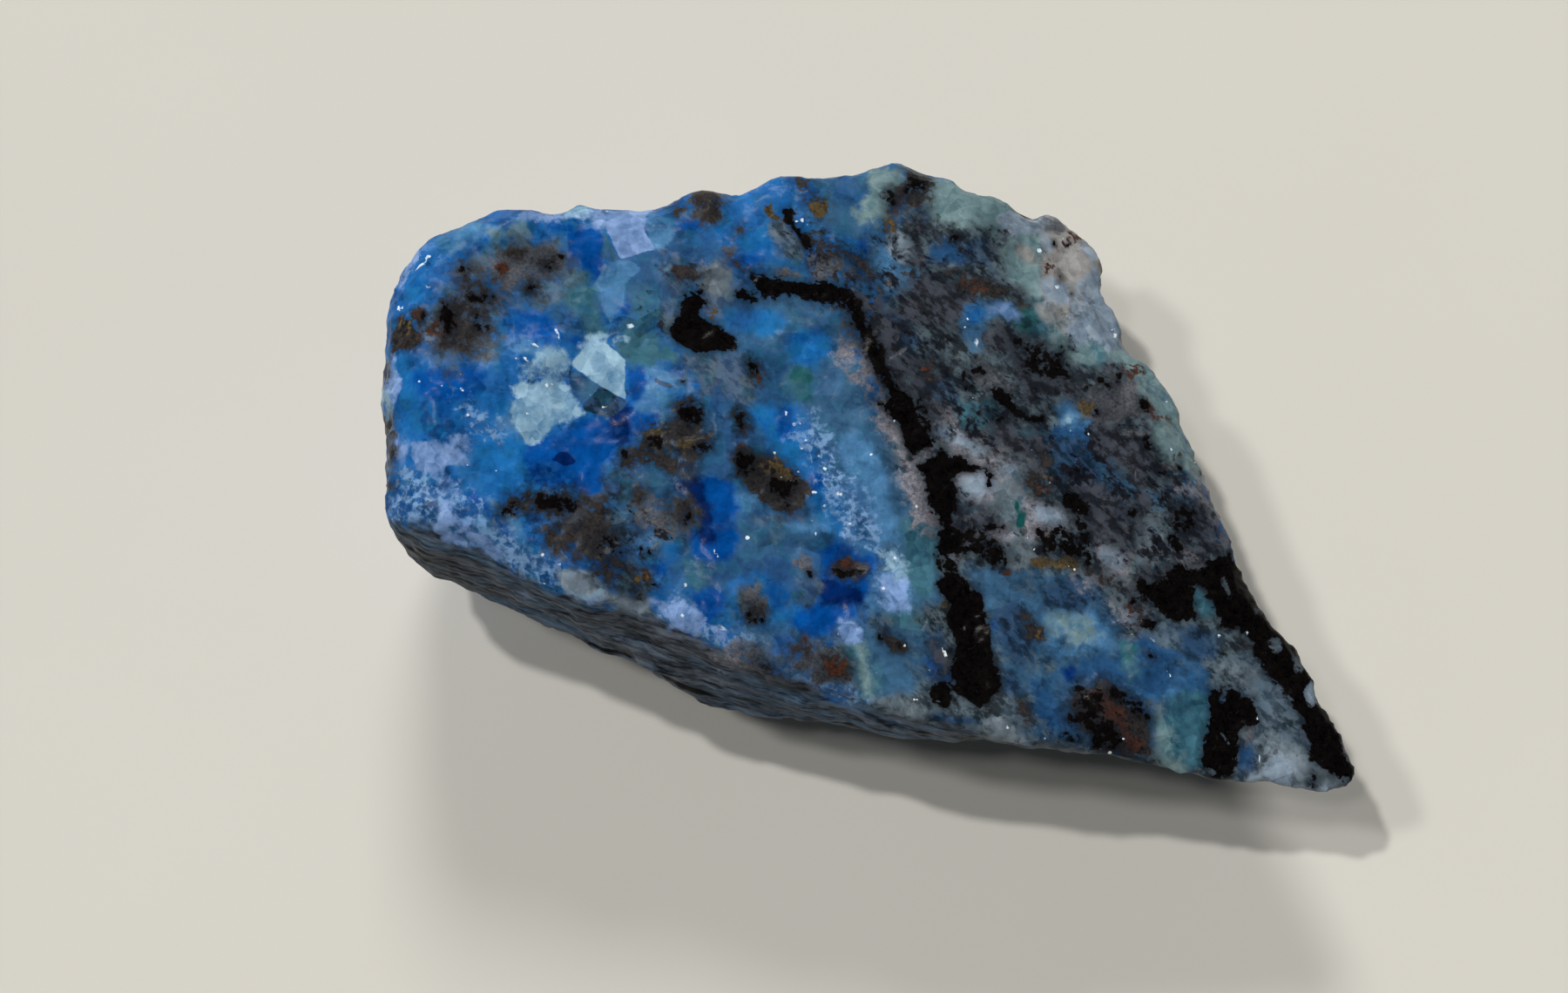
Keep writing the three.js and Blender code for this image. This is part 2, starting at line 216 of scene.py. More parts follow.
STEEL = [
    Area(0.9, 0.95, (955, 400), (975, 385), (1000, 440), (1022, 500), (1045, 560), (1075, 625),
        (1080, 690), (1050, 705), (1010, 620), (975, 600), (950, 530), (925, 470), (930, 420)),
    Area(1, 0.8, (830, 345), (870, 348), (930, 352), (970, 372), (975, 400), (930, 380), (890, 400),
        (850, 380)),
    Area(0.9, 0.75, (617, 322), (650, 318), (690, 330), (697, 372), (690, 392), (665, 398), (640, 372),
        (625, 350)),
    Area(0.07, 0.95, (652, 420), (690, 443), (681, 453), (668, 464), (660, 450), (652, 435)),
    Area(0.07, 0.9, (680, 272), (694, 266), (711, 298), (700, 304), (690, 296), (685, 283)),
    Area(0.1, 0.8, (718, 325), (736, 322), (738, 345), (718, 352)),
    Area(0.9, 0.7, (940, 215), (1000, 205), (1010, 255), (990, 280), (950, 262)),
    Area(0.6, 0.8, (740, 300), (800, 296), (800, 322), (760, 330), (742, 322)),
    Area(0.6, 0.8, (700, 575), (735, 575), (745, 600), (790, 622), (745, 640), (712, 622), (690, 606)),
    Area(0.7, 0.85, (845, 600), (890, 598), (930, 620), (925, 650), (880, 668), (850, 650), (838, 630)),
    Area(0.8, 0.8, (1030, 298), (1060, 312), (1065, 330), (1035, 332), (1010, 350), (1000, 320),
        (1005, 290)),
    Area(0.8, 0.85, (1110, 650), (1180, 655), (1260, 665), (1270, 700), (1180, 690), (1150, 700),
        (1140, 760), (1128, 700)),
    Area(0.9, 0.9, (1140, 700), (1175, 745), (1200, 760), (1240, 790), (1190, 800), (1170, 790),
        (1145, 770)),
    Area(0.7, 0.8, (985, 720), (1040, 716), (1085, 735), (1090, 775), (1040, 790), (1000, 805),
        (980, 780)),
    Area(0.6, 0.8, (1256, 520), (1290, 540), (1320, 590), (1300, 580), (1270, 560)),
    Area(0.6, 0.75, (690, 545), (760, 548), (785, 556), (760, 566), (720, 570), (698, 566)),
    Area(0.9, 0.9, (1150, 680), (1200, 668), (1270, 676), (1290, 712), (1290, 756), (1240, 780),
        (1190, 764), (1160, 720)),
    Area(0.8, 0.95, (1186, 500), (1230, 494), (1262, 510), (1284, 548), (1262, 572), (1226, 560),
        (1196, 536)),
]
DEEP = [
    Area(0.12, 1, (652, 285), (650, 268), (665, 261), (682, 264), (694, 272), (688, 290), (692, 309),
        (680, 328), (664, 331), (648, 322), (644, 310)),
    Streak(0.5, 0.7, 10, (632, 257), (660, 263), (684, 266)),
    Spot(0.25, 0.85, 718, 356, 8, 8),
    Spot(0.8, 0.75, 612, 374, 30, 15, 20),
    Spot(0.5, 0.85, 664, 391, 8, 8),
    Area(0.6, 0.85, (470, 428), (500, 424), (545, 420), (560, 430), (556, 450), (530, 462), (500, 464),
        (478, 452)),
    Spot(0.5, 0.75, 508, 472, 10, 13),
    Area(0.5, 0.9, (612, 505), (640, 500), (664, 484), (672, 476), (700, 481), (720, 464), (730, 476),
        (756, 474), (754, 486), (728, 498), (728, 512), (708, 512), (702, 524), (688, 534), (700, 545),
        (690, 565), (672, 575), (650, 560), (620, 560), (604, 545), (600, 525)),
    Area(0.25, 0.9, (721, 424), (738, 420), (741, 440), (732, 462), (722, 462)),
    Area(0.5, 0.95, (800, 548), (820, 543), (840, 552), (842, 572), (852, 582), (842, 596), (848, 612),
        (840, 638), (814, 642), (808, 600)),
    Spot(0.5, 0.85, 757, 652, 10, 8),
    Area(0.5, 0.9, (792, 678), (815, 672), (832, 682), (834, 700), (815, 715), (804, 722), (798, 700)),
    Spot(0.6, 0.8, 890, 682, 12, 18),
    Area(0.45, 1, (938, 632), (960, 618), (976, 628), (990, 636), (1005, 638), (1006, 650), (998, 664),
        (1000, 676), (990, 690), (970, 690), (960, 702), (940, 690), (944, 672), (942, 650)),
    Area(0.5, 0.95, (908, 710), (930, 690), (950, 692), (985, 694), (982, 710), (960, 716), (952, 730),
        (930, 732), (914, 722)),
    Spot(0.4, 0.85, 902, 484, 11, 18),
    Area(0.3, 0.9, (930, 545), (942, 541), (954, 542), (952, 552), (940, 562), (928, 570), (926, 556)),
    Spot(0.4, 0.7, 1143, 714, 5, 7),
    Spot(0.3, 0.85, 988, 283, 8, 9),
    Area(0.5, 0.8, (1060, 756), (1080, 758), (1092, 768), (1088, 780), (1066, 776)),
    Spot(0.5, 0.8, 792, 258, 14, 7),
    Spot(0.6, 0.8, 855, 300, 24, 8, -15),
    Area(0.5, 0.7, (450, 565), (480, 568), (505, 580), (500, 598), (478, 606), (456, 596)),
    Streak(0.35, 0.8, 12, (540, 570), (575, 600), (585, 622)),
    Area(0.5, 0.95, (790, 610), (830, 606), (845, 625), (836, 645), (812, 650), (794, 640)),
]
NAVY = [
    Area(0.07, 1, (641, 519), (652, 519), (662, 531), (648, 535), (634, 528)),
    Area(0.35, 0.95, (788, 552), (800, 545), (808, 556), (812, 575), (820, 600), (812, 608), (800, 596),
        (796, 575), (788, 562)),
    Area(0.5, 0.8, (700, 470), (722, 466), (726, 500), (712, 512), (702, 498)),
    Spot(0.4, 0.8, 1228, 773, 9, 10),
    Spot(0.5, 0.6, 630, 545, 20, 10, 20),
    Spot(0.3, 0.7, 1270, 766, 10, 7),
    Area(0.5, 0.8, (1258, 820), (1290, 850), (1290, 866), (1262, 862), (1248, 842)),
    Spot(0.35, 0.85, 781, 558, 9, 12),
    Spot(0.4, 0.9, 811, 615, 11, 14),
    Area(0.4, 0.92, (936, 668), (950, 664), (972, 674), (994, 676), (990, 692), (966, 697), (944, 692)),
]
BRIGHT = [
    Area(0.9, 0.85, (545, 505), (575, 498), (606, 505), (616, 520), (606, 548), (580, 562), (550, 556),
        (520, 545), (535, 530)),
    Area(0.6, 1, (902, 385), (915, 376), (945, 376), (956, 392), (950, 408), (936, 424), (912, 424),
        (903, 405)),
    Streak(0.7, 0.85, 26, (905, 475), (930, 512), (952, 560), (966, 602)),
    Area(0.8, 0.7, (462, 318), (500, 322), (510, 345), (470, 350), (456, 335)),
    Area(0.8, 0.8, (835, 225), (890, 220), (900, 238), (905, 300), (850, 292), (820, 262)),
    Spot(0.5, 0.85, 1118, 362, 12, 14),
    Area(0.5, 0.8, (565, 455), (585, 455), (582, 475), (562, 475)),
    Area(0.6, 0.8, (860, 655), (905, 650), (900, 700), (930, 690), (925, 715), (880, 712), (840, 700),
        (835, 670)),
    Spot(0.6, 0.8, 772, 632, 10, 12),
    Spot(0.5, 0.8, 862, 368, 40, 14, 10),
    Area(0.7, 0.95, (862, 466), (892, 466), (918, 486), (936, 512), (952, 548), (972, 590), (952, 602),
        (928, 580), (904, 548), (880, 512)),
    Area(0.7, 0.7, (440, 400), (500, 410), (560, 430), (560, 500), (500, 500), (440, 480)),
]
TEAL = [
    Area(0.5, 0.85, (640, 320), (662, 331), (682, 328), (690, 352), (698, 374), (698, 392), (675, 388),
        (660, 360), (645, 345)),
    Area(0.5, 0.95, (700, 378), (716, 362), (740, 360), (752, 380), (760, 402), (750, 418), (722, 420),
        (706, 402)),
    Area(0.5, 0.75, (738, 325), (760, 328), (766, 370), (742, 372), (728, 350)),
    Area(0.1, 0.8, (750, 403), (762, 400), (780, 404), (776, 416), (754, 412)),
    Spot(0.7, 0.85, 914, 440, 18, 18),
    Area(0.6, 0.85, (1098, 460), (1112, 462), (1135, 462), (1146, 474), (1142, 494), (1122, 500),
        (1102, 486)),
    Spot(0.4, 0.8, 1178, 503, 14, 9),
    Area(0.4, 0.95, (1140, 542), (1152, 536), (1172, 540), (1180, 560), (1176, 575), (1164, 604),
        (1172, 640), (1158, 640), (1150, 600), (1140, 575)),
    Area(0.6, 0.9, (1176, 344), (1200, 350), (1224, 366), (1232, 386), (1240, 402), (1220, 406),
        (1198, 398), (1180, 384), (1168, 364)),
    Spot(0.5, 0.85, 1258, 411, 15, 12),
    Area(0.5, 0.95, (1308, 600), (1325, 575), (1345, 605), (1340, 640), (1325, 660), (1306, 650)),
    Area(0.4, 0.95, (1338, 798), (1362, 792), (1384, 798), (1388, 825), (1380, 850), (1378, 876),
        (1350, 886), (1334, 862), (1326, 830)),
    Area(0.35, 0.95, (1372, 672), (1384, 684), (1398, 700), (1392, 713), (1380, 710), (1372, 694)),
    Area(0.6, 0.85, (968, 740), (990, 740), (1008, 780), (1008, 800), (990, 800), (980, 772)),
    Area(0.5, 0.85, (1286, 736), (1302, 745), (1310, 770), (1298, 786), (1290, 762)),
    Area(0.5, 0.7, (782, 642), (808, 642), (818, 668), (800, 680), (786, 660)),
    Spot(0.6, 0.7, 660, 320, 18, 8),
    Spot(0.8, 0.8, 1034, 710, 26, 10, 10),
    Spot(0.5, 0.75, 1258, 405, 14, 12),
    Area(0.6, 0.8, (1040, 600), (1076, 600), (1078, 640), (1062, 690), (1040, 660)),
]
MINT = [
    Area(0.5, 0.9, (1000, 196), (1040, 194), (1046, 214), (1022, 232), (1020, 250), (990, 256),
        (978, 240), (996, 224)),
    Area(0.5, 0.9, (1062, 206), (1090, 204), (1112, 217), (1142, 225), (1160, 238), (1150, 262),
        (1118, 264), (1085, 256), (1066, 240)),
    Area(0.5, 0.9, (1150, 268), (1196, 270), (1196, 320), (1200, 345), (1180, 340), (1160, 320),
        (1146, 292)),
    Area(0.5, 0.95, (1262, 398), (1296, 398), (1312, 406), (1326, 430), (1346, 463), (1354, 487),
        (1368, 511), (1383, 538), (1390, 560), (1366, 552), (1345, 525), (1332, 492), (1316, 462),
        (1304, 436), (1284, 416)),
    Area(0.5, 0.75, (1216, 385), (1252, 395), (1262, 420), (1230, 415)),
    Area(0.7, 0.85, (1322, 812), (1334, 804), (1338, 830), (1344, 862), (1362, 892), (1346, 900),
        (1326, 876)),
    Spot(0.4, 0.8, 992, 770, 6, 22, -8),
    Area(0.6, 0.6, (560, 265), (600, 255), (612, 272), (590, 292), (566, 290)),
    Area(0.6, 0.7, (616, 315), (636, 310), (640, 335), (620, 342)),
    Area(0.5, 0.95, (1318, 484), (1340, 480), (1356, 506), (1366, 536), (1350, 540), (1330, 520)),
    Area(0.5, 0.9, (1196, 378), (1224, 374), (1238, 398), (1222, 408), (1204, 400)),
    Area(0.5, 0.9, (1130, 262), (1150, 264), (1156, 282), (1138, 284)),
    Spot(0.8, 0.55, 1232, 724, 24, 16, 20),
    Streak(0.35, 0.85, 9, (1344, 594), (1338, 616), (1330, 634)),
]
SKY = [
    Area(0.7, 0.8, (492, 268), (520, 258), (545, 254), (562, 260), (556, 276), (530, 290), (500, 292)),
    Area(0.07, 0.95, (692, 305), (680, 329), (696, 365), (702, 373), (708, 361), (716, 355), (718, 325),
        (732, 313), (738, 309), (724, 299), (702, 299)),
    Area(0.2, 0.75, (740, 263), (752, 288), (766, 284), (776, 262), (770, 250), (745, 244)),
    Area(0.4, 0.85, (575, 470), (592, 460), (604, 500), (612, 512), (590, 505), (572, 490)),
    Area(0.5, 0.7, (600, 385), (640, 398), (652, 408), (612, 412), (596, 398)),
    Area(0.12, 0.85, (738, 421), (760, 425), (790, 436), (800, 449), (788, 454), (774, 446), (751, 434)),
    Area(0.4, 0.7, (735, 440), (760, 446), (776, 456), (772, 480), (752, 476), (730, 466)),
    Area(0.12, 0.85, (654, 520), (670, 508), (696, 514), (704, 524), (688, 532), (663, 531)),
    Area(0.07, 0.95, (640, 510), (652, 508), (652, 519), (642, 520)),
    Area(0.5, 0.8, (895, 500), (925, 505), (945, 540), (960, 575), (975, 600), (950, 612), (930, 600),
        (925, 560)),
    Area(0.4, 0.9, (960, 560), (985, 575), (998, 600), (985, 625), (960, 610), (932, 612), (930, 598),
        (950, 590)),
    Area(0.5, 0.85, (984, 690), (1010, 655), (1040, 650), (1046, 690), (1036, 712), (1002, 706)),
    Area(0.7, 0.7, (1199, 715), (1216, 702), (1250, 700), (1268, 715), (1272, 745), (1240, 756),
        (1206, 750)),
    Area(0.6, 0.8, (996, 292), (1015, 285), (1050, 320), (1052, 332), (1020, 345), (1003, 325)),
    Area(0.4, 0.9, (1106, 350), (1120, 343), (1142, 343), (1162, 350), (1173, 362), (1168, 375),
        (1150, 366), (1136, 368), (1130, 382), (1124, 402), (1112, 405), (1104, 388), (1098, 370)),
    Area(0.5, 0.85, (1206, 466), (1222, 459), (1238, 464), (1240, 478), (1246, 490), (1230, 496),
        (1214, 490)),
    Spot(0.6, 0.7, 1325, 590, 10, 20),
    Area(0.6, 0.6, (1340, 770), (1356, 780), (1352, 800), (1338, 800)),
    Spot(0.6, 0.75, 850, 580, 16, 10),
    Area(0.5, 0.7, (880, 560), (905, 596), (930, 606), (905, 606), (875, 586), (850, 572)),
    Area(0.5, 0.7, (540, 575), (565, 580), (600, 605), (615, 640), (585, 645), (562, 615)),
    Area(0.5, 0.92, (518, 524), (545, 516), (562, 534), (552, 552), (530, 550)),
    Area(0.6, 0.9, (958, 500), (990, 498), (1010, 530), (1020, 570), (1026, 620), (990, 625), (975, 585)),
    Area(0.3, 0.85, (1222, 482), (1250, 482), (1256, 498), (1238, 502), (1222, 496)),
]
LILAC = [
    Area(0.07, 1, (695, 261), (712, 296), (724, 295), (751, 287), (740, 263), (740, 245), (700, 243)),
    Area(0.35, 0.8, (672, 242), (690, 236), (715, 239), (740, 240), (742, 262), (700, 262), (680, 256)),
    Streak(0.35, 0.7, 10, (640, 249), (656, 246), (674, 246)),
    Area(0.22, 1, (470, 508), (500, 504), (512, 508), (524, 511), (535, 521), (539, 534), (516, 532),
        (509, 534), (508, 544), (488, 544), (476, 538), (468, 526)),
    Area(0.3, 0.97, (510, 505), (520, 497), (536, 500), (542, 518), (524, 520)),
    Area(0.25, 0.9, (444, 418), (456, 428), (454, 446), (446, 468), (438, 462), (440, 430)),
    Spot(0.25, 0.9, 457, 519, 5, 9),
    Area(0.25, 0.9, (500, 582), (512, 570), (520, 575), (528, 590), (534, 600), (530, 606), (518, 604),
        (506, 598)),
    Streak(0.3, 0.75, 12, (528, 604), (545, 615), (562, 628), (572, 640)),
    Area(0.4, 0.92, (746, 690), (764, 692), (782, 688), (798, 694), (808, 708), (806, 724), (790, 729),
        (772, 720), (756, 704)),
    Spot(0.25, 0.95, 786, 708, 12, 9, 30),
    Area(0.2, 0.95, (815, 718), (824, 716), (836, 724), (832, 734), (818, 732)),
    Area(0.4, 0.85, (1004, 660), (1030, 655), (1040, 670), (1042, 700), (1012, 705), (1002, 690)),
    Area(0.35, 0.9, (960, 712), (976, 714), (990, 722), (988, 734), (972, 738), (962, 728)),
    Area(0.4, 0.85, (1128, 346), (1158, 350), (1172, 362), (1168, 376), (1152, 364), (1134, 360)),
    Spot(0.4, 0.8, 1128, 556, 10, 8, 30),
    Area(0.4, 0.85, (494, 548), (514, 543), (531, 552), (526, 570), (504, 568)),
    Streak(0.35, 0.85, 9, (500, 606), (520, 616), (538, 626)),
    # Painted edge highlights: pale streaks along the worn upper and left rim where it catches the light.
    Streak(0.3, 0.88, 8, (600, 247), (630, 250), (664, 245), (700, 240)),
    Streak(0.3, 0.85, 7, (452, 330), (460, 310), (474, 292)),
    Streak(0.2, 0.85, 4, (450, 402), (448, 424), (446, 446)),
    Streak(0.2, 0.85, 4, (450, 498), (452, 524)),
    Area(0.4, 0.8, (642, 660), (668, 654), (690, 668), (700, 690), (676, 690), (652, 676)),
]
FROST = [
    Area(0.07, 1, (658, 414), (664, 407), (676, 395), (694, 393), (706, 402), (718, 414), (717, 443),
        (720, 460), (706, 453), (690, 443), (672, 431), (655, 420)),
    Spot(0.12, 0.9, 712, 389, 9, 5),
    Spot(0.3, 0.7, 684, 390, 14, 7, -20),
    Area(0.22, 1, (586, 442), (600, 436), (632, 436), (652, 440), (660, 450), (666, 464), (672, 474),
        (658, 482), (636, 490), (624, 500), (618, 508), (606, 508), (600, 498), (590, 488), (584, 472),
        (592, 458)),
    Area(0.5, 0.75, (600, 420), (622, 408), (645, 403), (656, 418), (652, 438), (620, 438), (596, 436)),
    Streak(0.12, 0.9, 4, (978, 332), (984, 338), (982, 345)),
    Area(0.4, 0.85, (1012, 636), (1028, 630), (1042, 654), (1030, 660), (1016, 650)),
    # Painted edge highlight: a pale streak along the worn left rim where it catches the light.
    Streak(0.25, 0.9, 8, (438, 452), (440, 475), (442, 496)),
    Spot(0.3, 0.92, 664, 243, 15, 6),
    Spot(0.3, 0.85, 1226, 480, 9, 5, -30),
    Area(0.35, 0.9, (642, 660), (668, 654), (688, 668), (696, 686), (672, 686), (650, 674)),
]
HAZE = [
    Area(0.7, 0.9, (780, 408), (820, 404), (850, 412), (868, 440), (862, 460), (830, 462), (804, 452),
        (796, 430), (784, 420)),
    Area(0.5, 0.85, (806, 304), (830, 298), (842, 310), (850, 336), (842, 350), (826, 372), (808, 356),
        (806, 330)),
    Area(0.6, 0.75, (760, 318), (780, 316), (784, 345), (772, 380), (756, 372), (762, 340)),
    Area(0.6, 0.7, (884, 256), (906, 258), (922, 285), (918, 302), (892, 290)),
    Area(0.5, 0.7, (695, 542), (712, 540), (722, 560), (708, 574), (697, 560)),
    Area(0.4, 0.75, (620, 590), (668, 586), (690, 600), (672, 612), (640, 608)),
    Area(0.5, 0.85, (720, 650), (745, 655), (752, 675), (738, 692), (712, 690), (700, 672)),
    Area(0.5, 0.8, (848, 675), (868, 664), (886, 684), (880, 704), (862, 712), (846, 700)),
    Area(0.35, 0.75, (914, 655), (924, 640), (938, 650), (942, 672), (934, 688), (918, 686)),
    Spot(0.4, 0.6, 892, 614, 11, 11),
    Area(0.7, 0.85, (1386, 752), (1440, 745), (1470, 775), (1495, 815), (1512, 860), (1520, 900),
        (1480, 912), (1400, 900), (1440, 880), (1440, 830), (1400, 780)),
    Area(0.5, 0.7, (855, 590), (880, 590), (920, 594), (900, 600), (870, 602)),
    Area(0.5, 0.8, (1096, 575), (1135, 575), (1140, 596), (1104, 600)),
    Area(0.5, 0.7, (1318, 705), (1360, 720), (1420, 735), (1400, 750), (1350, 745), (1320, 728)),
    Area(0.6, 0.8, (745, 590), (770, 580), (776, 600), (756, 606)),
    Area(0.6, 0.7, (840, 745), (895, 752), (905, 768), (860, 770)),
    Area(0.5, 0.7, (1150, 812), (1178, 806), (1180, 832), (1160, 832)),
    Area(0.9, 0.85, (478, 370), (496, 345), (512, 318), (524, 292), (560, 280), (592, 272), (640, 276),
        (658, 296), (650, 322), (628, 344), (590, 352), (572, 372), (562, 404), (520, 418), (486, 404)),
]
QUARTZ = [
    Area(0.6, 0.92, (1446, 852), (1460, 836), (1476, 850), (1504, 876), (1502, 910), (1450, 910),
        (1442, 874)),
    Area(0.4, 0.95, (1508, 884), (1526, 880), (1552, 900), (1540, 912), (1506, 912)),
    Area(0.6, 0.75, (1388, 762), (1412, 758), (1440, 770), (1434, 794), (1402, 782)),
    Area(0.5, 0.7, (1120, 834), (1180, 846), (1230, 856), (1200, 862), (1130, 848)),
    Area(0.5, 0.6, (1004, 806), (1040, 806), (1066, 820), (1030, 820)),
    Area(0.4, 1, (636, 664), (650, 652), (682, 655), (684, 668), (702, 678), (720, 684), (744, 690),
        (742, 702), (700, 698), (672, 690), (650, 680)),
    Area(0.4, 0.95, (1400, 655), (1440, 676), (1470, 712), (1500, 745), (1540, 812), (1580, 890),
        (1560, 905), (1530, 880), (1500, 820), (1450, 745), (1410, 700)),
    Area(0.4, 0.97, (1132, 548), (1150, 538), (1168, 544), (1176, 562), (1170, 576), (1172, 610),
        (1190, 622), (1186, 646), (1166, 658), (1152, 640), (1148, 612), (1144, 590), (1132, 570)),
    Area(0.5, 0.9, (1300, 600), (1316, 580), (1336, 588), (1342, 610), (1336, 645), (1316, 656),
        (1302, 640)),
    Area(0.35, 0.95, (1124, 828), (1140, 822), (1156, 826), (1166, 838), (1158, 845), (1136, 838)),
    Area(0.45, 0.85, (806, 306), (826, 302), (842, 314), (838, 332), (816, 338), (804, 324)),
    Streak(0.5, 0.8, 6, (1132, 566), (1142, 584), (1150, 600)),
]
PEARL = [
    Area(0.2, 1, (1096, 545), (1110, 541), (1130, 546), (1136, 556), (1142, 568), (1124, 574),
        (1104, 568), (1094, 558)),
    Area(0.2, 0.95, (1054, 514), (1066, 508), (1077, 512), (1071, 525), (1060, 532), (1049, 525)),
    Streak(0.5, 0.95, 18, (972, 400), (992, 414), (1002, 440), (1012, 470), (1026, 498), (1040, 532),
        (1052, 565), (1068, 594)),
    Streak(0.6, 0.9, 22, (1066, 470), (1080, 492), (1100, 505), (1122, 516), (1152, 530), (1170, 545)),
    Area(0.4, 0.95, (1176, 566), (1200, 575), (1222, 590), (1236, 600), (1226, 612), (1200, 606),
        (1184, 616), (1176, 600)),
    Area(0.3, 1, (1248, 630), (1256, 618), (1276, 622), (1302, 634), (1300, 648), (1302, 660),
        (1284, 662), (1264, 652), (1252, 644)),
    Area(0.5, 0.8, (1166, 516), (1186, 518), (1200, 540), (1186, 536), (1170, 530)),
    Area(0.4, 0.8, (1280, 676), (1300, 690), (1312, 712), (1304, 722), (1282, 712), (1268, 696)),
    Area(0.4, 0.85, (1340, 636), (1364, 630), (1380, 640), (1376, 652), (1350, 650)),
    Area(0.4, 0.8, (1096, 620), (1108, 612), (1116, 624), (1104, 636), (1096, 640), (1088, 628)),
    Area(0.4, 0.8, (1104, 596), (1150, 602), (1156, 618), (1140, 620), (1120, 608)),
    Spot(0.3, 0.8, 1418, 660, 8, 14, -25),
    Streak(0.3, 0.7, 8, (1424, 640), (1432, 662), (1440, 682)),
    Area(0.3, 0.8, (1368, 590), (1400, 588), (1404, 602), (1410, 626), (1392, 628), (1380, 610)),
    Area(0.5, 0.8, (1360, 545), (1392, 560), (1398, 585), (1370, 570), (1350, 560)),
    Spot(0.25, 0.7, 1448, 704, 6, 8, -30),
    Streak(0.3, 0.75, 10, (1524, 846), (1540, 862), (1550, 882)),
    Spot(0.25, 0.7, 915, 764, 6, 4),
    Spot(0.4, 0.6, 850, 758, 14, 6, 20),
    Area(0.4, 0.75, (1218, 545), (1250, 548), (1256, 562), (1226, 560)),
    Area(0.35, 1, (1172, 574), (1196, 574), (1216, 584), (1236, 602), (1230, 616), (1206, 612),
        (1186, 620), (1172, 606)),
    Area(0.5, 0.9, (1072, 490), (1100, 492), (1124, 512), (1168, 534), (1170, 552), (1140, 542),
        (1108, 528), (1080, 520)),
    Area(0.5, 0.8, (1076, 596), (1100, 590), (1136, 600), (1140, 616), (1104, 614), (1082, 608)),
    Streak(0.5, 0.85, 14, (1250, 662), (1300, 668), (1352, 656), (1388, 650)),
    Area(0.5, 0.85, (1246, 450), (1262, 436), (1284, 446), (1296, 466), (1286, 488), (1262, 486),
        (1248, 470)),
    Area(0.4, 0.85, (1250, 448), (1280, 440), (1300, 452), (1296, 474), (1270, 480), (1252, 472)),
]
SMOKY = [
    Area(0.35, 1, (1196, 300), (1200, 284), (1196, 268), (1192, 254), (1207, 243), (1226, 255),
        (1243, 261), (1258, 275), (1266, 292), (1268, 330), (1264, 342), (1240, 340), (1228, 347),
        (1212, 354), (1200, 352), (1197, 330)),
    Area(0.3, 0.9, (1190, 250), (1204, 241), (1222, 250), (1226, 266), (1204, 272), (1194, 262)),
    Area(0.4, 0.8, (1204, 318), (1240, 330), (1246, 350), (1236, 362), (1212, 356)),
    Area(0.5, 0.7, (1190, 352), (1226, 352), (1240, 372), (1226, 384), (1200, 372)),
    Spot(0.3, 0.8, 1178, 292, 14, 8, 40),
]
MILK = [
    Area(0.07, 0.95, (1232, 329), (1241, 318), (1250, 314), (1258, 303), (1264, 320), (1265, 340),
        (1256, 342), (1243, 338)),
    Area(0.15, 0.9, (1244, 342), (1266, 341), (1280, 356), (1289, 376), (1293, 400), (1270, 402),
        (1262, 385), (1254, 362)),
    Area(0.3, 0.85, (1222, 360), (1240, 358), (1250, 375), (1248, 395), (1232, 396), (1224, 378)),
    Area(0.1, 0.85, (1178, 262), (1182, 253), (1193, 257), (1197, 267)),
    Area(0.3, 0.8, (1198, 320), (1206, 318), (1222, 326), (1228, 348), (1214, 352), (1200, 350)),
    Area(0.1, 0.9, (1498, 786), (1506, 782), (1512, 796), (1513, 806), (1504, 812), (1496, 802)),
    Area(0.3, 0.75, (1028, 262), (1044, 270), (1052, 296), (1036, 302), (1020, 292), (1018, 274)),
    Area(0.3, 0.8, (1242, 268), (1258, 276), (1264, 300), (1254, 300), (1240, 284)),
    Spot(0.2, 0.8, 1202, 276, 5, 12, -15),
    Area(0.3, 0.85, (640, 662), (654, 655), (680, 658), (690, 674), (674, 682), (650, 676)),
    Streak(0.3, 0.7, 7, (690, 684), (712, 690), (734, 696)),
    Area(0.35, 0.97, (1234, 324), (1262, 318), (1274, 340), (1290, 372), (1292, 396), (1262, 394),
        (1238, 384), (1226, 352)),
    Area(0.3, 0.95, (1146, 247), (1166, 243), (1184, 250), (1200, 243), (1214, 250), (1204, 266),
        (1184, 266), (1164, 268), (1150, 262)),
    Streak(0.3, 0.9, 12, (1440, 896), (1470, 902), (1500, 908), (1530, 906)),
    Area(0.35, 0.95, (1208, 322), (1224, 320), (1232, 334), (1222, 344), (1208, 340)),
    Spot(0.35, 0.95, 1116, 557, 17, 11, 10),
    Spot(0.35, 0.95, 1206, 591, 22, 10, 25),
    Spot(0.35, 0.92, 1276, 640, 21, 12, 20),
    Streak(0.35, 0.92, 12, (1078, 494), (1100, 504), (1126, 518)),
    Spot(0.4, 0.88, 1160, 538, 12, 8),
    Spot(0.3, 0.88, 1276, 452, 12, 12),
    Area(0.6, 0.88, (1450, 874), (1462, 856), (1474, 872), (1484, 892), (1486, 908), (1452, 908)),
    Spot(0.4, 0.85, 1300, 708, 9, 12),
]
CRUMB = [
    Area(0.8, 0.9, (440, 555), (470, 548), (520, 560), (560, 590), (600, 630), (640, 648), (700, 688),
        (780, 715), (860, 745), (985, 790), (1000, 808), (960, 802), (880, 772), (740, 708), (640, 692),
        (560, 652), (480, 622), (436, 604)),
    Area(0.8, 0.7, (926, 486), (945, 500), (985, 566), (1000, 620), (985, 618), (955, 572), (932, 524)),
    Spot(0.6, 0.6, 548, 478, 20, 14, 20),
]
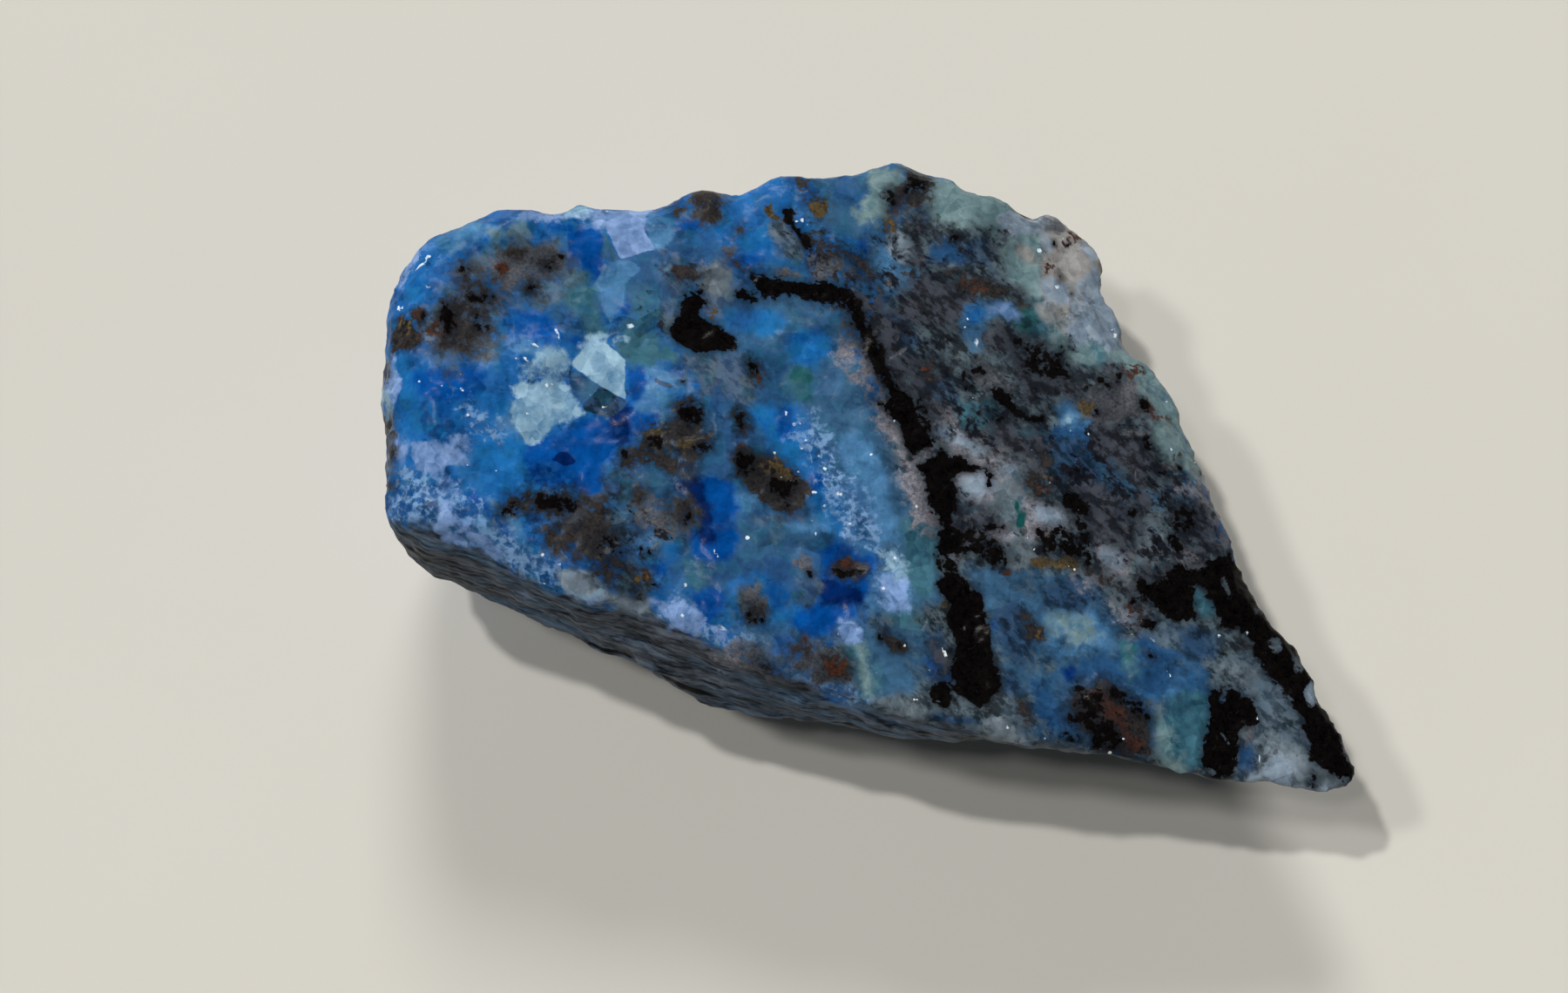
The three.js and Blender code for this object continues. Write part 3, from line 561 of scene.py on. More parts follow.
BLUE = [
    Area(0.5, 0.9, (1192, 808), (1210, 814), (1226, 814), (1240, 832), (1228, 843), (1206, 840),
        (1196, 826)),
    Area(0.5, 0.9, (1418, 856), (1440, 854), (1448, 870), (1440, 890), (1422, 888)),
    Area(0.7, 0.85, (1304, 730), (1330, 740), (1352, 762), (1350, 786), (1320, 792), (1300, 770),
        (1296, 746)),
    Area(0.6, 0.85, (1206, 490), (1240, 486), (1256, 500), (1262, 524), (1240, 532), (1210, 520)),
    Area(0.5, 0.8, (1064, 280), (1082, 275), (1096, 283), (1108, 300), (1102, 310), (1084, 300),
        (1068, 296)),
    Area(0.6, 0.8, (700, 690), (760, 700), (800, 722), (780, 724), (740, 708)),
    Area(0.7, 0.8, (1236, 752), (1300, 748), (1310, 790), (1240, 790)),
    Area(0.7, 0.7, (1180, 780), (1214, 776), (1230, 800), (1190, 812)),
    Area(0.6, 0.92, (876, 644), (905, 640), (916, 656), (906, 672), (886, 672)),
]
SLATE = [
    Area(0.07, 1, (690, 443), (720, 461), (716, 469), (700, 480), (692, 478), (671, 472), (668, 464),
        (681, 453)),
    Area(0.07, 0.9, (751, 433), (775, 444), (769, 447), (752, 438)),
    Area(0.8, 0.9, (1200, 518), (1232, 516), (1258, 528), (1268, 550), (1256, 578), (1222, 572),
        (1205, 560), (1194, 540)),
    Area(0.7, 0.85, (1106, 276), (1134, 270), (1142, 290), (1140, 312), (1116, 306), (1104, 292)),
    Area(0.7, 0.8, (1010, 356), (1040, 362), (1060, 390), (1046, 410), (1014, 392)),
    Spot(0.3, 0.75, 977, 316, 7, 6),
    Area(0.5, 0.75, (1062, 440), (1100, 430), (1098, 462), (1078, 470)),
    Area(0.7, 0.8, (1256, 560), (1290, 566), (1300, 600), (1270, 606), (1250, 584)),
    Area(0.6, 0.7, (1340, 556), (1368, 562), (1392, 578), (1360, 584), (1340, 572)),
    Streak(0.2, 0.9, 5, (1340, 558), (1362, 562), (1390, 574)),
    Spot(0.15, 0.9, 494, 359, 3),
    Spot(0.5, 0.7, 1370, 728, 26, 8, 15),
    # Painted shade: a dark line along the rim's lower edge on the right, where the wall turns under into
    # shadow.
    Streak(0.2, 0.75, 4, (1080, 838), (1100, 846), (1124, 832)),
    Spot(0.4, 0.8, 1280, 790, 16, 5, 20),
    Streak(0.35, 0.7, 6, (480, 600), (500, 610), (520, 618)),
    Area(0.5, 0.95, (694, 545), (726, 546), (738, 562), (726, 578), (704, 576), (692, 560)),
    Spot(0.4, 0.9, 924, 684, 12, 14),
    Area(0.7, 0.92, (1144, 700), (1162, 690), (1180, 700), (1188, 740), (1180, 768), (1158, 762),
        (1146, 735)),
    Area(0.7, 0.9, (1190, 670), (1230, 666), (1262, 674), (1270, 690), (1236, 700), (1200, 696)),
    Area(0.6, 0.92, (1350, 726), (1384, 730), (1404, 748), (1390, 764), (1362, 756)),
    # Painted shade: the dark lower edge of the rim on the right, where the wall turns under into shadow.
    Streak(0.3, 0.92, 10, (1070, 822), (1100, 828), (1124, 828)),
    Area(0.6, 0.95, (1066, 718), (1086, 716), (1092, 745), (1090, 775), (1074, 780), (1066, 750)),
    Area(0.6, 0.92, (1144, 770), (1166, 768), (1172, 790), (1156, 796), (1146, 788)),
    Spot(0.5, 0.9, 737, 602, 13, 10),
    Area(0.5, 0.85, (1206, 504), (1232, 502), (1250, 514), (1246, 532), (1216, 532)),
    Area(0.6, 0.85, (626, 604), (650, 600), (656, 618), (636, 622)),
    Streak(0.6, 0.85, 10, (470, 606), (500, 626), (540, 644), (590, 664)),
]
MURK = [
    Area(1, 1, (985, 330), (1010, 262), (1050, 300), (1090, 262), (1140, 300), (1170, 352), (1240, 412),
        (1246, 470), (1330, 478), (1375, 556), (1400, 600), (1412, 648), (1300, 650), (1240, 628),
        (1150, 652), (1088, 628), (1092, 560), (1180, 552), (1100, 490), (1060, 430), (1010, 380)),
    Area(0.8, 0.8, (1100, 600), (1160, 606), (1160, 640), (1110, 640)),
    Area(0.8, 0.75, (1240, 660), (1290, 668), (1330, 720), (1300, 730), (1262, 690)),
    Area(0.8, 0.7, (900, 262), (985, 280), (1000, 330), (930, 320)),
    Area(0.8, 0.6, (740, 300), (800, 296), (800, 340), (760, 380), (744, 350)),
    Area(0.8, 0.65, (696, 586), (730, 580), (748, 596), (786, 618), (745, 640), (712, 622)),
]
UMBER = [
    Area(0.45, 0.95, (1138, 372), (1160, 374), (1174, 386), (1188, 396), (1208, 404), (1218, 420),
        (1226, 434), (1238, 450), (1228, 453), (1212, 446), (1198, 448), (1180, 444), (1172, 432),
        (1168, 416), (1156, 400), (1140, 396), (1132, 384)),
    Area(0.45, 0.9, (1024, 330), (1044, 331), (1060, 337), (1078, 330), (1086, 340), (1104, 352),
        (1096, 362), (1090, 378), (1078, 374), (1068, 362), (1050, 356), (1036, 350), (1022, 342)),
    Area(0.4, 0.9, (1268, 488), (1276, 486), (1288, 484), (1304, 492), (1312, 498), (1322, 512),
        (1328, 526), (1332, 540), (1322, 548), (1300, 534), (1284, 530), (1272, 520), (1266, 506)),
    Area(0.5, 0.8, (970, 344), (990, 342), (1006, 350), (1014, 364), (1010, 378), (994, 374), (980, 366)),
    Streak(0.35, 0.85, 10, (990, 303), (999, 322), (1006, 340), (1013, 356)),
    Area(0.4, 0.85, (1044, 448), (1060, 440), (1076, 470), (1066, 500), (1056, 480)),
    Area(0.4, 0.85, (1050, 410), (1072, 404), (1090, 420), (1084, 440), (1060, 436)),
    Area(0.4, 0.85, (1242, 580), (1262, 590), (1290, 578), (1308, 590), (1310, 612), (1290, 620),
        (1262, 606), (1246, 616)),
    Area(0.35, 0.9, (1252, 600), (1276, 606), (1306, 622), (1306, 634), (1280, 624), (1258, 614)),
    Area(0.3, 0.95, (1342, 586), (1356, 582), (1370, 588), (1382, 604), (1372, 610), (1352, 604),
        (1342, 596)),
    Area(0.35, 0.85, (1360, 610), (1376, 620), (1386, 636), (1370, 632), (1358, 620)),
    Area(0.4, 0.85, (1096, 600), (1112, 602), (1128, 612), (1130, 622), (1108, 618), (1096, 612)),
    Area(0.5, 0.75, (1144, 480), (1160, 486), (1166, 500), (1150, 506), (1140, 492)),
    Area(0.5, 0.8, (1136, 268), (1146, 272), (1144, 290), (1136, 288)),
    Streak(0.3, 0.8, 6, (1054, 250), (1052, 270), (1048, 292), (1052, 302)),
    Area(0.4, 0.8, (1416, 655), (1432, 668), (1444, 690), (1430, 696), (1418, 676)),
    Spot(0.4, 0.85, 1094, 592, 8, 12),
    Area(0.4, 0.7, (862, 760), (890, 764), (905, 780), (880, 782)),
    Area(0.4, 0.95, (968, 332), (990, 336), (1008, 352), (1018, 372), (1008, 392), (990, 388),
        (976, 368)),
    Streak(0.4, 0.85, 26, (990, 372), (1006, 402), (1024, 436), (1040, 468)),
    Streak(0.3, 0.9, 10, (1018, 386), (1036, 412), (1058, 440), (1072, 462)),
    Streak(0.3, 0.85, 7, (1090, 612), (1112, 600), (1136, 598)),
    Area(0.5, 0.9, (1226, 556), (1256, 560), (1290, 584), (1312, 612), (1296, 634), (1262, 618),
        (1240, 596)),
    Area(0.5, 0.85, (1266, 490), (1300, 486), (1330, 510), (1340, 546), (1312, 556), (1280, 536)),
    Area(0.4, 0.9, (1162, 392), (1196, 398), (1216, 430), (1210, 466), (1184, 462), (1168, 430)),
    Area(0.4, 0.9, (1346, 584), (1380, 584), (1402, 610), (1400, 634), (1368, 628), (1350, 608)),
    Area(0.5, 0.8, (1040, 318), (1080, 322), (1110, 340), (1140, 372), (1110, 384), (1070, 372),
        (1044, 352)),
    Area(0.3, 0.85, (1030, 338), (1060, 334), (1086, 344), (1096, 362), (1084, 378), (1056, 376),
        (1036, 358)),
    Streak(0.25, 0.85, 6, (998, 312), (1008, 330), (1016, 346)),
    Area(0.3, 0.88, (1292, 580), (1306, 570), (1322, 572), (1322, 590), (1300, 598)),
    Area(0.35, 0.9, (1162, 500), (1196, 500), (1206, 514), (1192, 526), (1166, 522)),
    Area(0.35, 0.88, (1310, 650), (1334, 652), (1338, 672), (1320, 680), (1306, 668)),
    Area(0.35, 0.85, (1072, 738), (1094, 742), (1094, 764), (1074, 768)),
    Area(0.6, 0.88, (646, 612), (680, 600), (704, 618), (716, 650), (704, 656), (682, 640), (662, 632)),
]
TAN = [
    Area(0.3, 0.9, (570, 289), (582, 283), (600, 282), (620, 283), (640, 285), (650, 289), (649, 301),
        (642, 313), (622, 319), (612, 321), (617, 335), (606, 337), (600, 329), (582, 335), (566, 339),
        (554, 329), (558, 315), (566, 303)),
    Area(0.4, 0.85, (795, 216), (815, 214), (829, 220), (830, 236), (822, 252), (806, 256), (798, 243),
        (790, 230)),
    Area(0.4, 0.9, (924, 288), (950, 288), (975, 298), (985, 308), (980, 320), (960, 324), (930, 318),
        (924, 302)),
    Area(0.4, 0.85, (896, 312), (910, 306), (922, 310), (922, 322), (902, 322)),
    Area(0.4, 0.85, (1108, 424), (1130, 419), (1150, 430), (1166, 446), (1162, 454), (1140, 447),
        (1124, 440), (1110, 440)),
    Area(0.25, 0.95, (1236, 461), (1250, 456), (1252, 440), (1262, 426), (1272, 421), (1286, 420),
        (1296, 428), (1300, 438), (1302, 452), (1314, 460), (1330, 472), (1328, 484), (1316, 480),
        (1300, 480), (1280, 480), (1260, 481), (1248, 476), (1238, 468)),
    Area(0.4, 0.8, (732, 566), (744, 563), (752, 572), (764, 574), (776, 569), (788, 575), (799, 588),
        (799, 604), (788, 614), (768, 614), (752, 608), (736, 594), (729, 580)),
    Area(0.3, 0.75, (506, 362), (512, 350), (545, 348), (562, 356), (560, 378), (548, 395), (530, 404),
        (506, 398)),
    Streak(0.3, 0.7, 6, (441, 486), (443, 510), (444, 535), (445, 562)),
    Area(0.4, 0.8, (644, 590), (662, 588), (676, 600), (664, 612), (648, 606)),
    Spot(0.4, 0.75, 926, 650, 8, 10),
    Area(0.4, 0.8, (858, 676), (874, 672), (882, 690), (870, 700), (858, 692)),
    Spot(0.3, 0.7, 840, 291, 4, 6),
    Streak(0.35, 0.7, 9, (1028, 248), (1036, 252), (1044, 262)),
    Streak(0.4, 0.7, 8, (1120, 500), (1140, 492), (1164, 504)),
    Area(0.3, 0.9, (905, 744), (926, 730), (940, 738), (956, 746), (970, 758), (976, 772), (970, 784),
        (940, 784), (912, 768)),
    Streak(0.3, 0.75, 7, (1286, 690), (1300, 700), (1308, 716)),
    Area(0.35, 0.8, (1192, 254), (1207, 244), (1224, 254), (1218, 265), (1200, 267)),
    Streak(0.3, 0.7, 8, (1192, 540), (1206, 552), (1204, 562)),
    Spot(0.3, 0.8, 1432, 843, 6, 11),
    Spot(0.25, 0.7, 1330, 808, 8, 4),
    Streak(0.35, 0.6, 8, (966, 372), (984, 386), (998, 408)),
    Area(0.5, 0.7, (664, 566), (690, 572), (696, 590), (684, 598), (668, 586)),
    Area(0.5, 0.85, (504, 372), (512, 346), (526, 336), (522, 312), (532, 298), (560, 302), (580, 296),
        (592, 322), (572, 348), (560, 356), (566, 380), (552, 404), (520, 408), (504, 396)),
]
BROWN = [
    Area(0.12, 1, (451, 366), (464, 365), (471, 371), (473, 376), (479, 382), (480, 398), (471, 401),
        (458, 403), (451, 405), (448, 399), (445, 393), (446, 381), (450, 375)),
    Area(0.15, 1, (469, 360), (476, 356), (483, 361), (484, 368), (478, 370), (470, 367)),
    Spot(0.12, 1, 441, 430, 4, 9),
    Area(0.3, 0.72, (530, 322), (545, 320), (560, 322), (570, 330), (572, 345), (556, 352), (540, 348),
        (528, 338)),
    Area(0.3, 0.62, (507, 352), (520, 348), (540, 352), (558, 358), (558, 374), (546, 390), (536, 400),
        (520, 398), (506, 392)),
    Spot(0.25, 0.9, 536, 315, 9, 8),
    Spot(0.25, 0.8, 610, 331, 5, 6),
    Spot(0.25, 0.75, 628, 303, 10, 7, 30),
    Spot(0.25, 0.7, 590, 289, 7, 4),
    Area(0.3, 0.9, (798, 226), (812, 218), (826, 222), (824, 238), (818, 250), (806, 250)),
    *spots(0.2, 0.85, (778, 241, 6, 4), (736, 570, 6, 5), (1200, 530, 10, 6, 40), (1436, 740, 8, 5, 20)),
    Spot(0.25, 0.8, 850, 264, 4),
    Streak(0.3, 0.7, 9, (920, 208), (928, 222), (938, 234)),
    Streak(0.25, 0.95, 12, (930, 276), (950, 285), (972, 292), (988, 300), (996, 316)),
    Streak(0.2, 0.9, 5, (842, 300), (850, 308)),
    Area(0.25, 0.95, (1020, 226), (1034, 216), (1044, 196), (1056, 200), (1066, 212), (1064, 226),
        (1052, 234), (1036, 240), (1022, 246)),
    Spot(0.2, 0.8, 1023, 258, 4, 5),
    Area(0.3, 0.75, (772, 305), (790, 306), (802, 316), (790, 322), (775, 314)),
    Area(0.22, 0.95, (778, 460), (792, 458), (802, 472), (808, 484), (816, 496), (814, 505), (804, 508),
        (800, 524), (800, 540), (792, 549), (780, 549), (768, 540), (752, 531), (730, 532), (712, 537),
        (714, 524), (728, 514), (740, 504), (742, 493), (752, 490), (768, 490), (779, 480), (774, 468)),
    Area(0.3, 0.8, (770, 572), (788, 575), (799, 590), (797, 602), (780, 600), (766, 590)),
    Area(0.15, 1, (842, 520), (847, 510), (856, 511), (864, 520), (880, 523), (896, 529), (908, 539),
        (920, 548), (928, 560), (927, 573), (920, 585), (906, 592), (892, 588), (880, 580), (866, 568),
        (856, 552), (844, 536), (840, 526)),
    Area(0.2, 0.9, (844, 473), (852, 477), (857, 488), (857, 500), (850, 502), (846, 488), (841, 480)),
    Area(0.2, 0.9, (862, 413), (868, 415), (872, 428), (878, 429), (876, 440), (870, 440), (864, 426)),
    Area(0.25, 0.95, (590, 572), (606, 568), (636, 570), (658, 560), (668, 572), (668, 584), (648, 586),
        (640, 594), (612, 588), (596, 584), (582, 592), (576, 588)),
    Area(0.3, 0.95, (676, 582), (690, 580), (696, 592), (688, 600), (700, 606), (708, 622), (712, 640),
        (708, 660), (694, 664), (678, 650), (660, 636), (640, 632), (622, 610), (640, 612), (664, 610),
        (676, 600)),
    Spot(0.3, 0.85, 738, 665, 7, 8),
    Spot(0.15, 0.95, 734, 684, 4, 3, -30),
    Area(0.3, 0.85, (906, 746), (922, 734), (934, 738), (930, 752), (916, 758)),
    Area(0.3, 0.8, (944, 752), (962, 756), (974, 766), (972, 778), (956, 776), (946, 766)),
    Area(0.2, 1, (962, 640), (968, 636), (978, 644), (984, 650), (992, 652), (992, 662), (984, 664),
        (970, 662), (962, 656), (958, 650)),
    Area(0.12, 1, (1009, 725), (1016, 725), (1028, 734), (1038, 738), (1046, 746), (1038, 750),
        (1024, 746), (1014, 736)),
    Area(0.2, 0.95, (1098, 326), (1112, 323), (1126, 321), (1142, 326), (1153, 334), (1152, 341),
        (1136, 340), (1118, 336), (1104, 333)),
    Streak(0.25, 0.75, 5, (1088, 312), (1106, 316)),
    Area(0.15, 0.95, (1162, 336), (1172, 333), (1181, 346), (1180, 357), (1170, 354), (1165, 344)),
    *spots(0.3, 0.8, (1068, 424, 6, 10), (548, 334, 14, 12, 20), (526, 352, 9, 7)),
    Area(0.25, 0.9, (1174, 544), (1184, 540), (1196, 548), (1210, 556), (1212, 566), (1198, 572),
        (1186, 568), (1178, 556)),
    Area(0.2, 0.95, (1176, 708), (1184, 710), (1190, 718), (1198, 724), (1196, 736), (1186, 736),
        (1178, 726)),
    Area(0.2, 0.95, (1168, 806), (1176, 802), (1180, 814), (1186, 828), (1178, 832), (1172, 820)),
    Area(0.25, 1, (1226, 804), (1236, 796), (1248, 789), (1262, 784), (1276, 790), (1292, 796),
        (1300, 808), (1312, 814), (1320, 826), (1320, 850), (1324, 868), (1296, 869), (1280, 866),
        (1258, 856), (1240, 838), (1228, 818)),
    *spots(0.2, 0.9, (1268, 440, 9, 7, 40), (1305, 698, 4, 5), (1307, 708, 5, 5)),
    Area(0.25, 0.9, (1272, 662), (1284, 668), (1294, 676), (1286, 682), (1272, 672), (1262, 664)),
    Area(0.25, 0.9, (1208, 640), (1240, 640), (1252, 656), (1266, 664), (1262, 656), (1246, 646)),
    Area(0.3, 0.8, (1450, 696), (1466, 708), (1474, 724), (1462, 728), (1452, 712)),
    Spot(0.1, 0.85, 1218, 319, 3, 3),
    Spot(0.2, 0.7, 442, 486, 3, 5),
    Spot(0.2, 0.8, 445, 556, 4, 6),
    Spot(0.15, 0.7, 444, 523, 3, 4),
    Spot(0.3, 0.6, 866, 704, 8, 6),
    Spot(0.3, 0.75, 518, 384, 12, 14),
]
RUST = [
    Spot(0.2, 0.85, 574, 309, 6, 5),
    Spot(0.4, 0.6, 496, 381, 9, 5),
    Spot(0.2, 0.6, 514, 368, 5, 9),
    Spot(0.25, 0.8, 873, 434, 3, 5),
    Spot(0.25, 0.8, 850, 514, 5, 4, 40),
    Area(0.2, 0.95, (964, 642), (970, 640), (980, 652), (978, 656), (966, 652)),
    Streak(0.25, 0.95, 15, (1252, 800), (1268, 808), (1284, 822), (1294, 838), (1302, 854)),
    Spot(0.3, 0.85, 1196, 562, 9, 6),
    *spots(0.25, 0.7, (1297, 427, 8, 5, 20), (1325, 474, 8, 4, 30), (740, 662, 5, 5)),
    Spot(0.2, 0.8, 1118, 329, 8, 4, 20),
    Spot(0.2, 0.7, 1068, 422, 4, 8),
    Spot(0.25, 0.6, 960, 766, 8, 6),
    Spot(0.25, 0.6, 924, 738, 6, 4),
    Spot(0.2, 0.85, 1158, 661, 5, 4, -20),
    Spot(0.2, 0.7, 1432, 740, 6, 5),
    Spot(0.3, 0.6, 1348, 530, 4, 6),
    Spot(0.3, 0.4, 1230, 277, 11, 4, -15),
    Spot(0.3, 0.4, 1206, 308, 6, 5),
    Streak(0.3, 0.6, 5, (1294, 694), (1304, 712)),
    Spot(0.2, 0.8, 478, 362, 4, 4),
    Spot(0.3, 0.6, 1032, 236, 8, 6),
]
GOLD = [
    Spot(0.3, 0.7, 461, 374, 8, 6),
    Area(0.12, 1, (877, 238), (886, 236), (892, 246), (897, 251), (888, 253), (879, 246)),
    Area(0.1, 1, (931, 233), (949, 231), (951, 244), (937, 249), (931, 241)),
    Spot(0.2, 0.85, 752, 496, 8, 3),
    Spot(0.2, 0.8, 786, 510, 8, 3),
    Area(0.35, 0.75, (868, 528), (890, 527), (904, 538), (908, 548), (890, 548), (874, 542)),
    Spot(0.25, 0.85, 902, 562, 5, 5),
    Area(0.1, 0.95, (1081, 694), (1086, 688), (1092, 694), (1095, 702), (1091, 708), (1083, 702)),
    Area(0.2, 0.95, (1184, 642), (1196, 640), (1210, 642), (1222, 637), (1234, 641), (1242, 649),
        (1236, 655), (1222, 654), (1206, 650), (1186, 650)),
    Spot(0.25, 0.7, 1244, 468, 7, 8, 40),
    Spot(0.25, 0.8, 1202, 553, 6, 5),
    Spot(0.2, 0.7, 1190, 731, 3, 3),
    Spot(0.25, 0.6, 1022, 258, 3, 5),
    Spot(0.2, 0.6, 818, 362, 4, 5),
    Spot(0.3, 0.6, 735, 664, 4, 4),
]
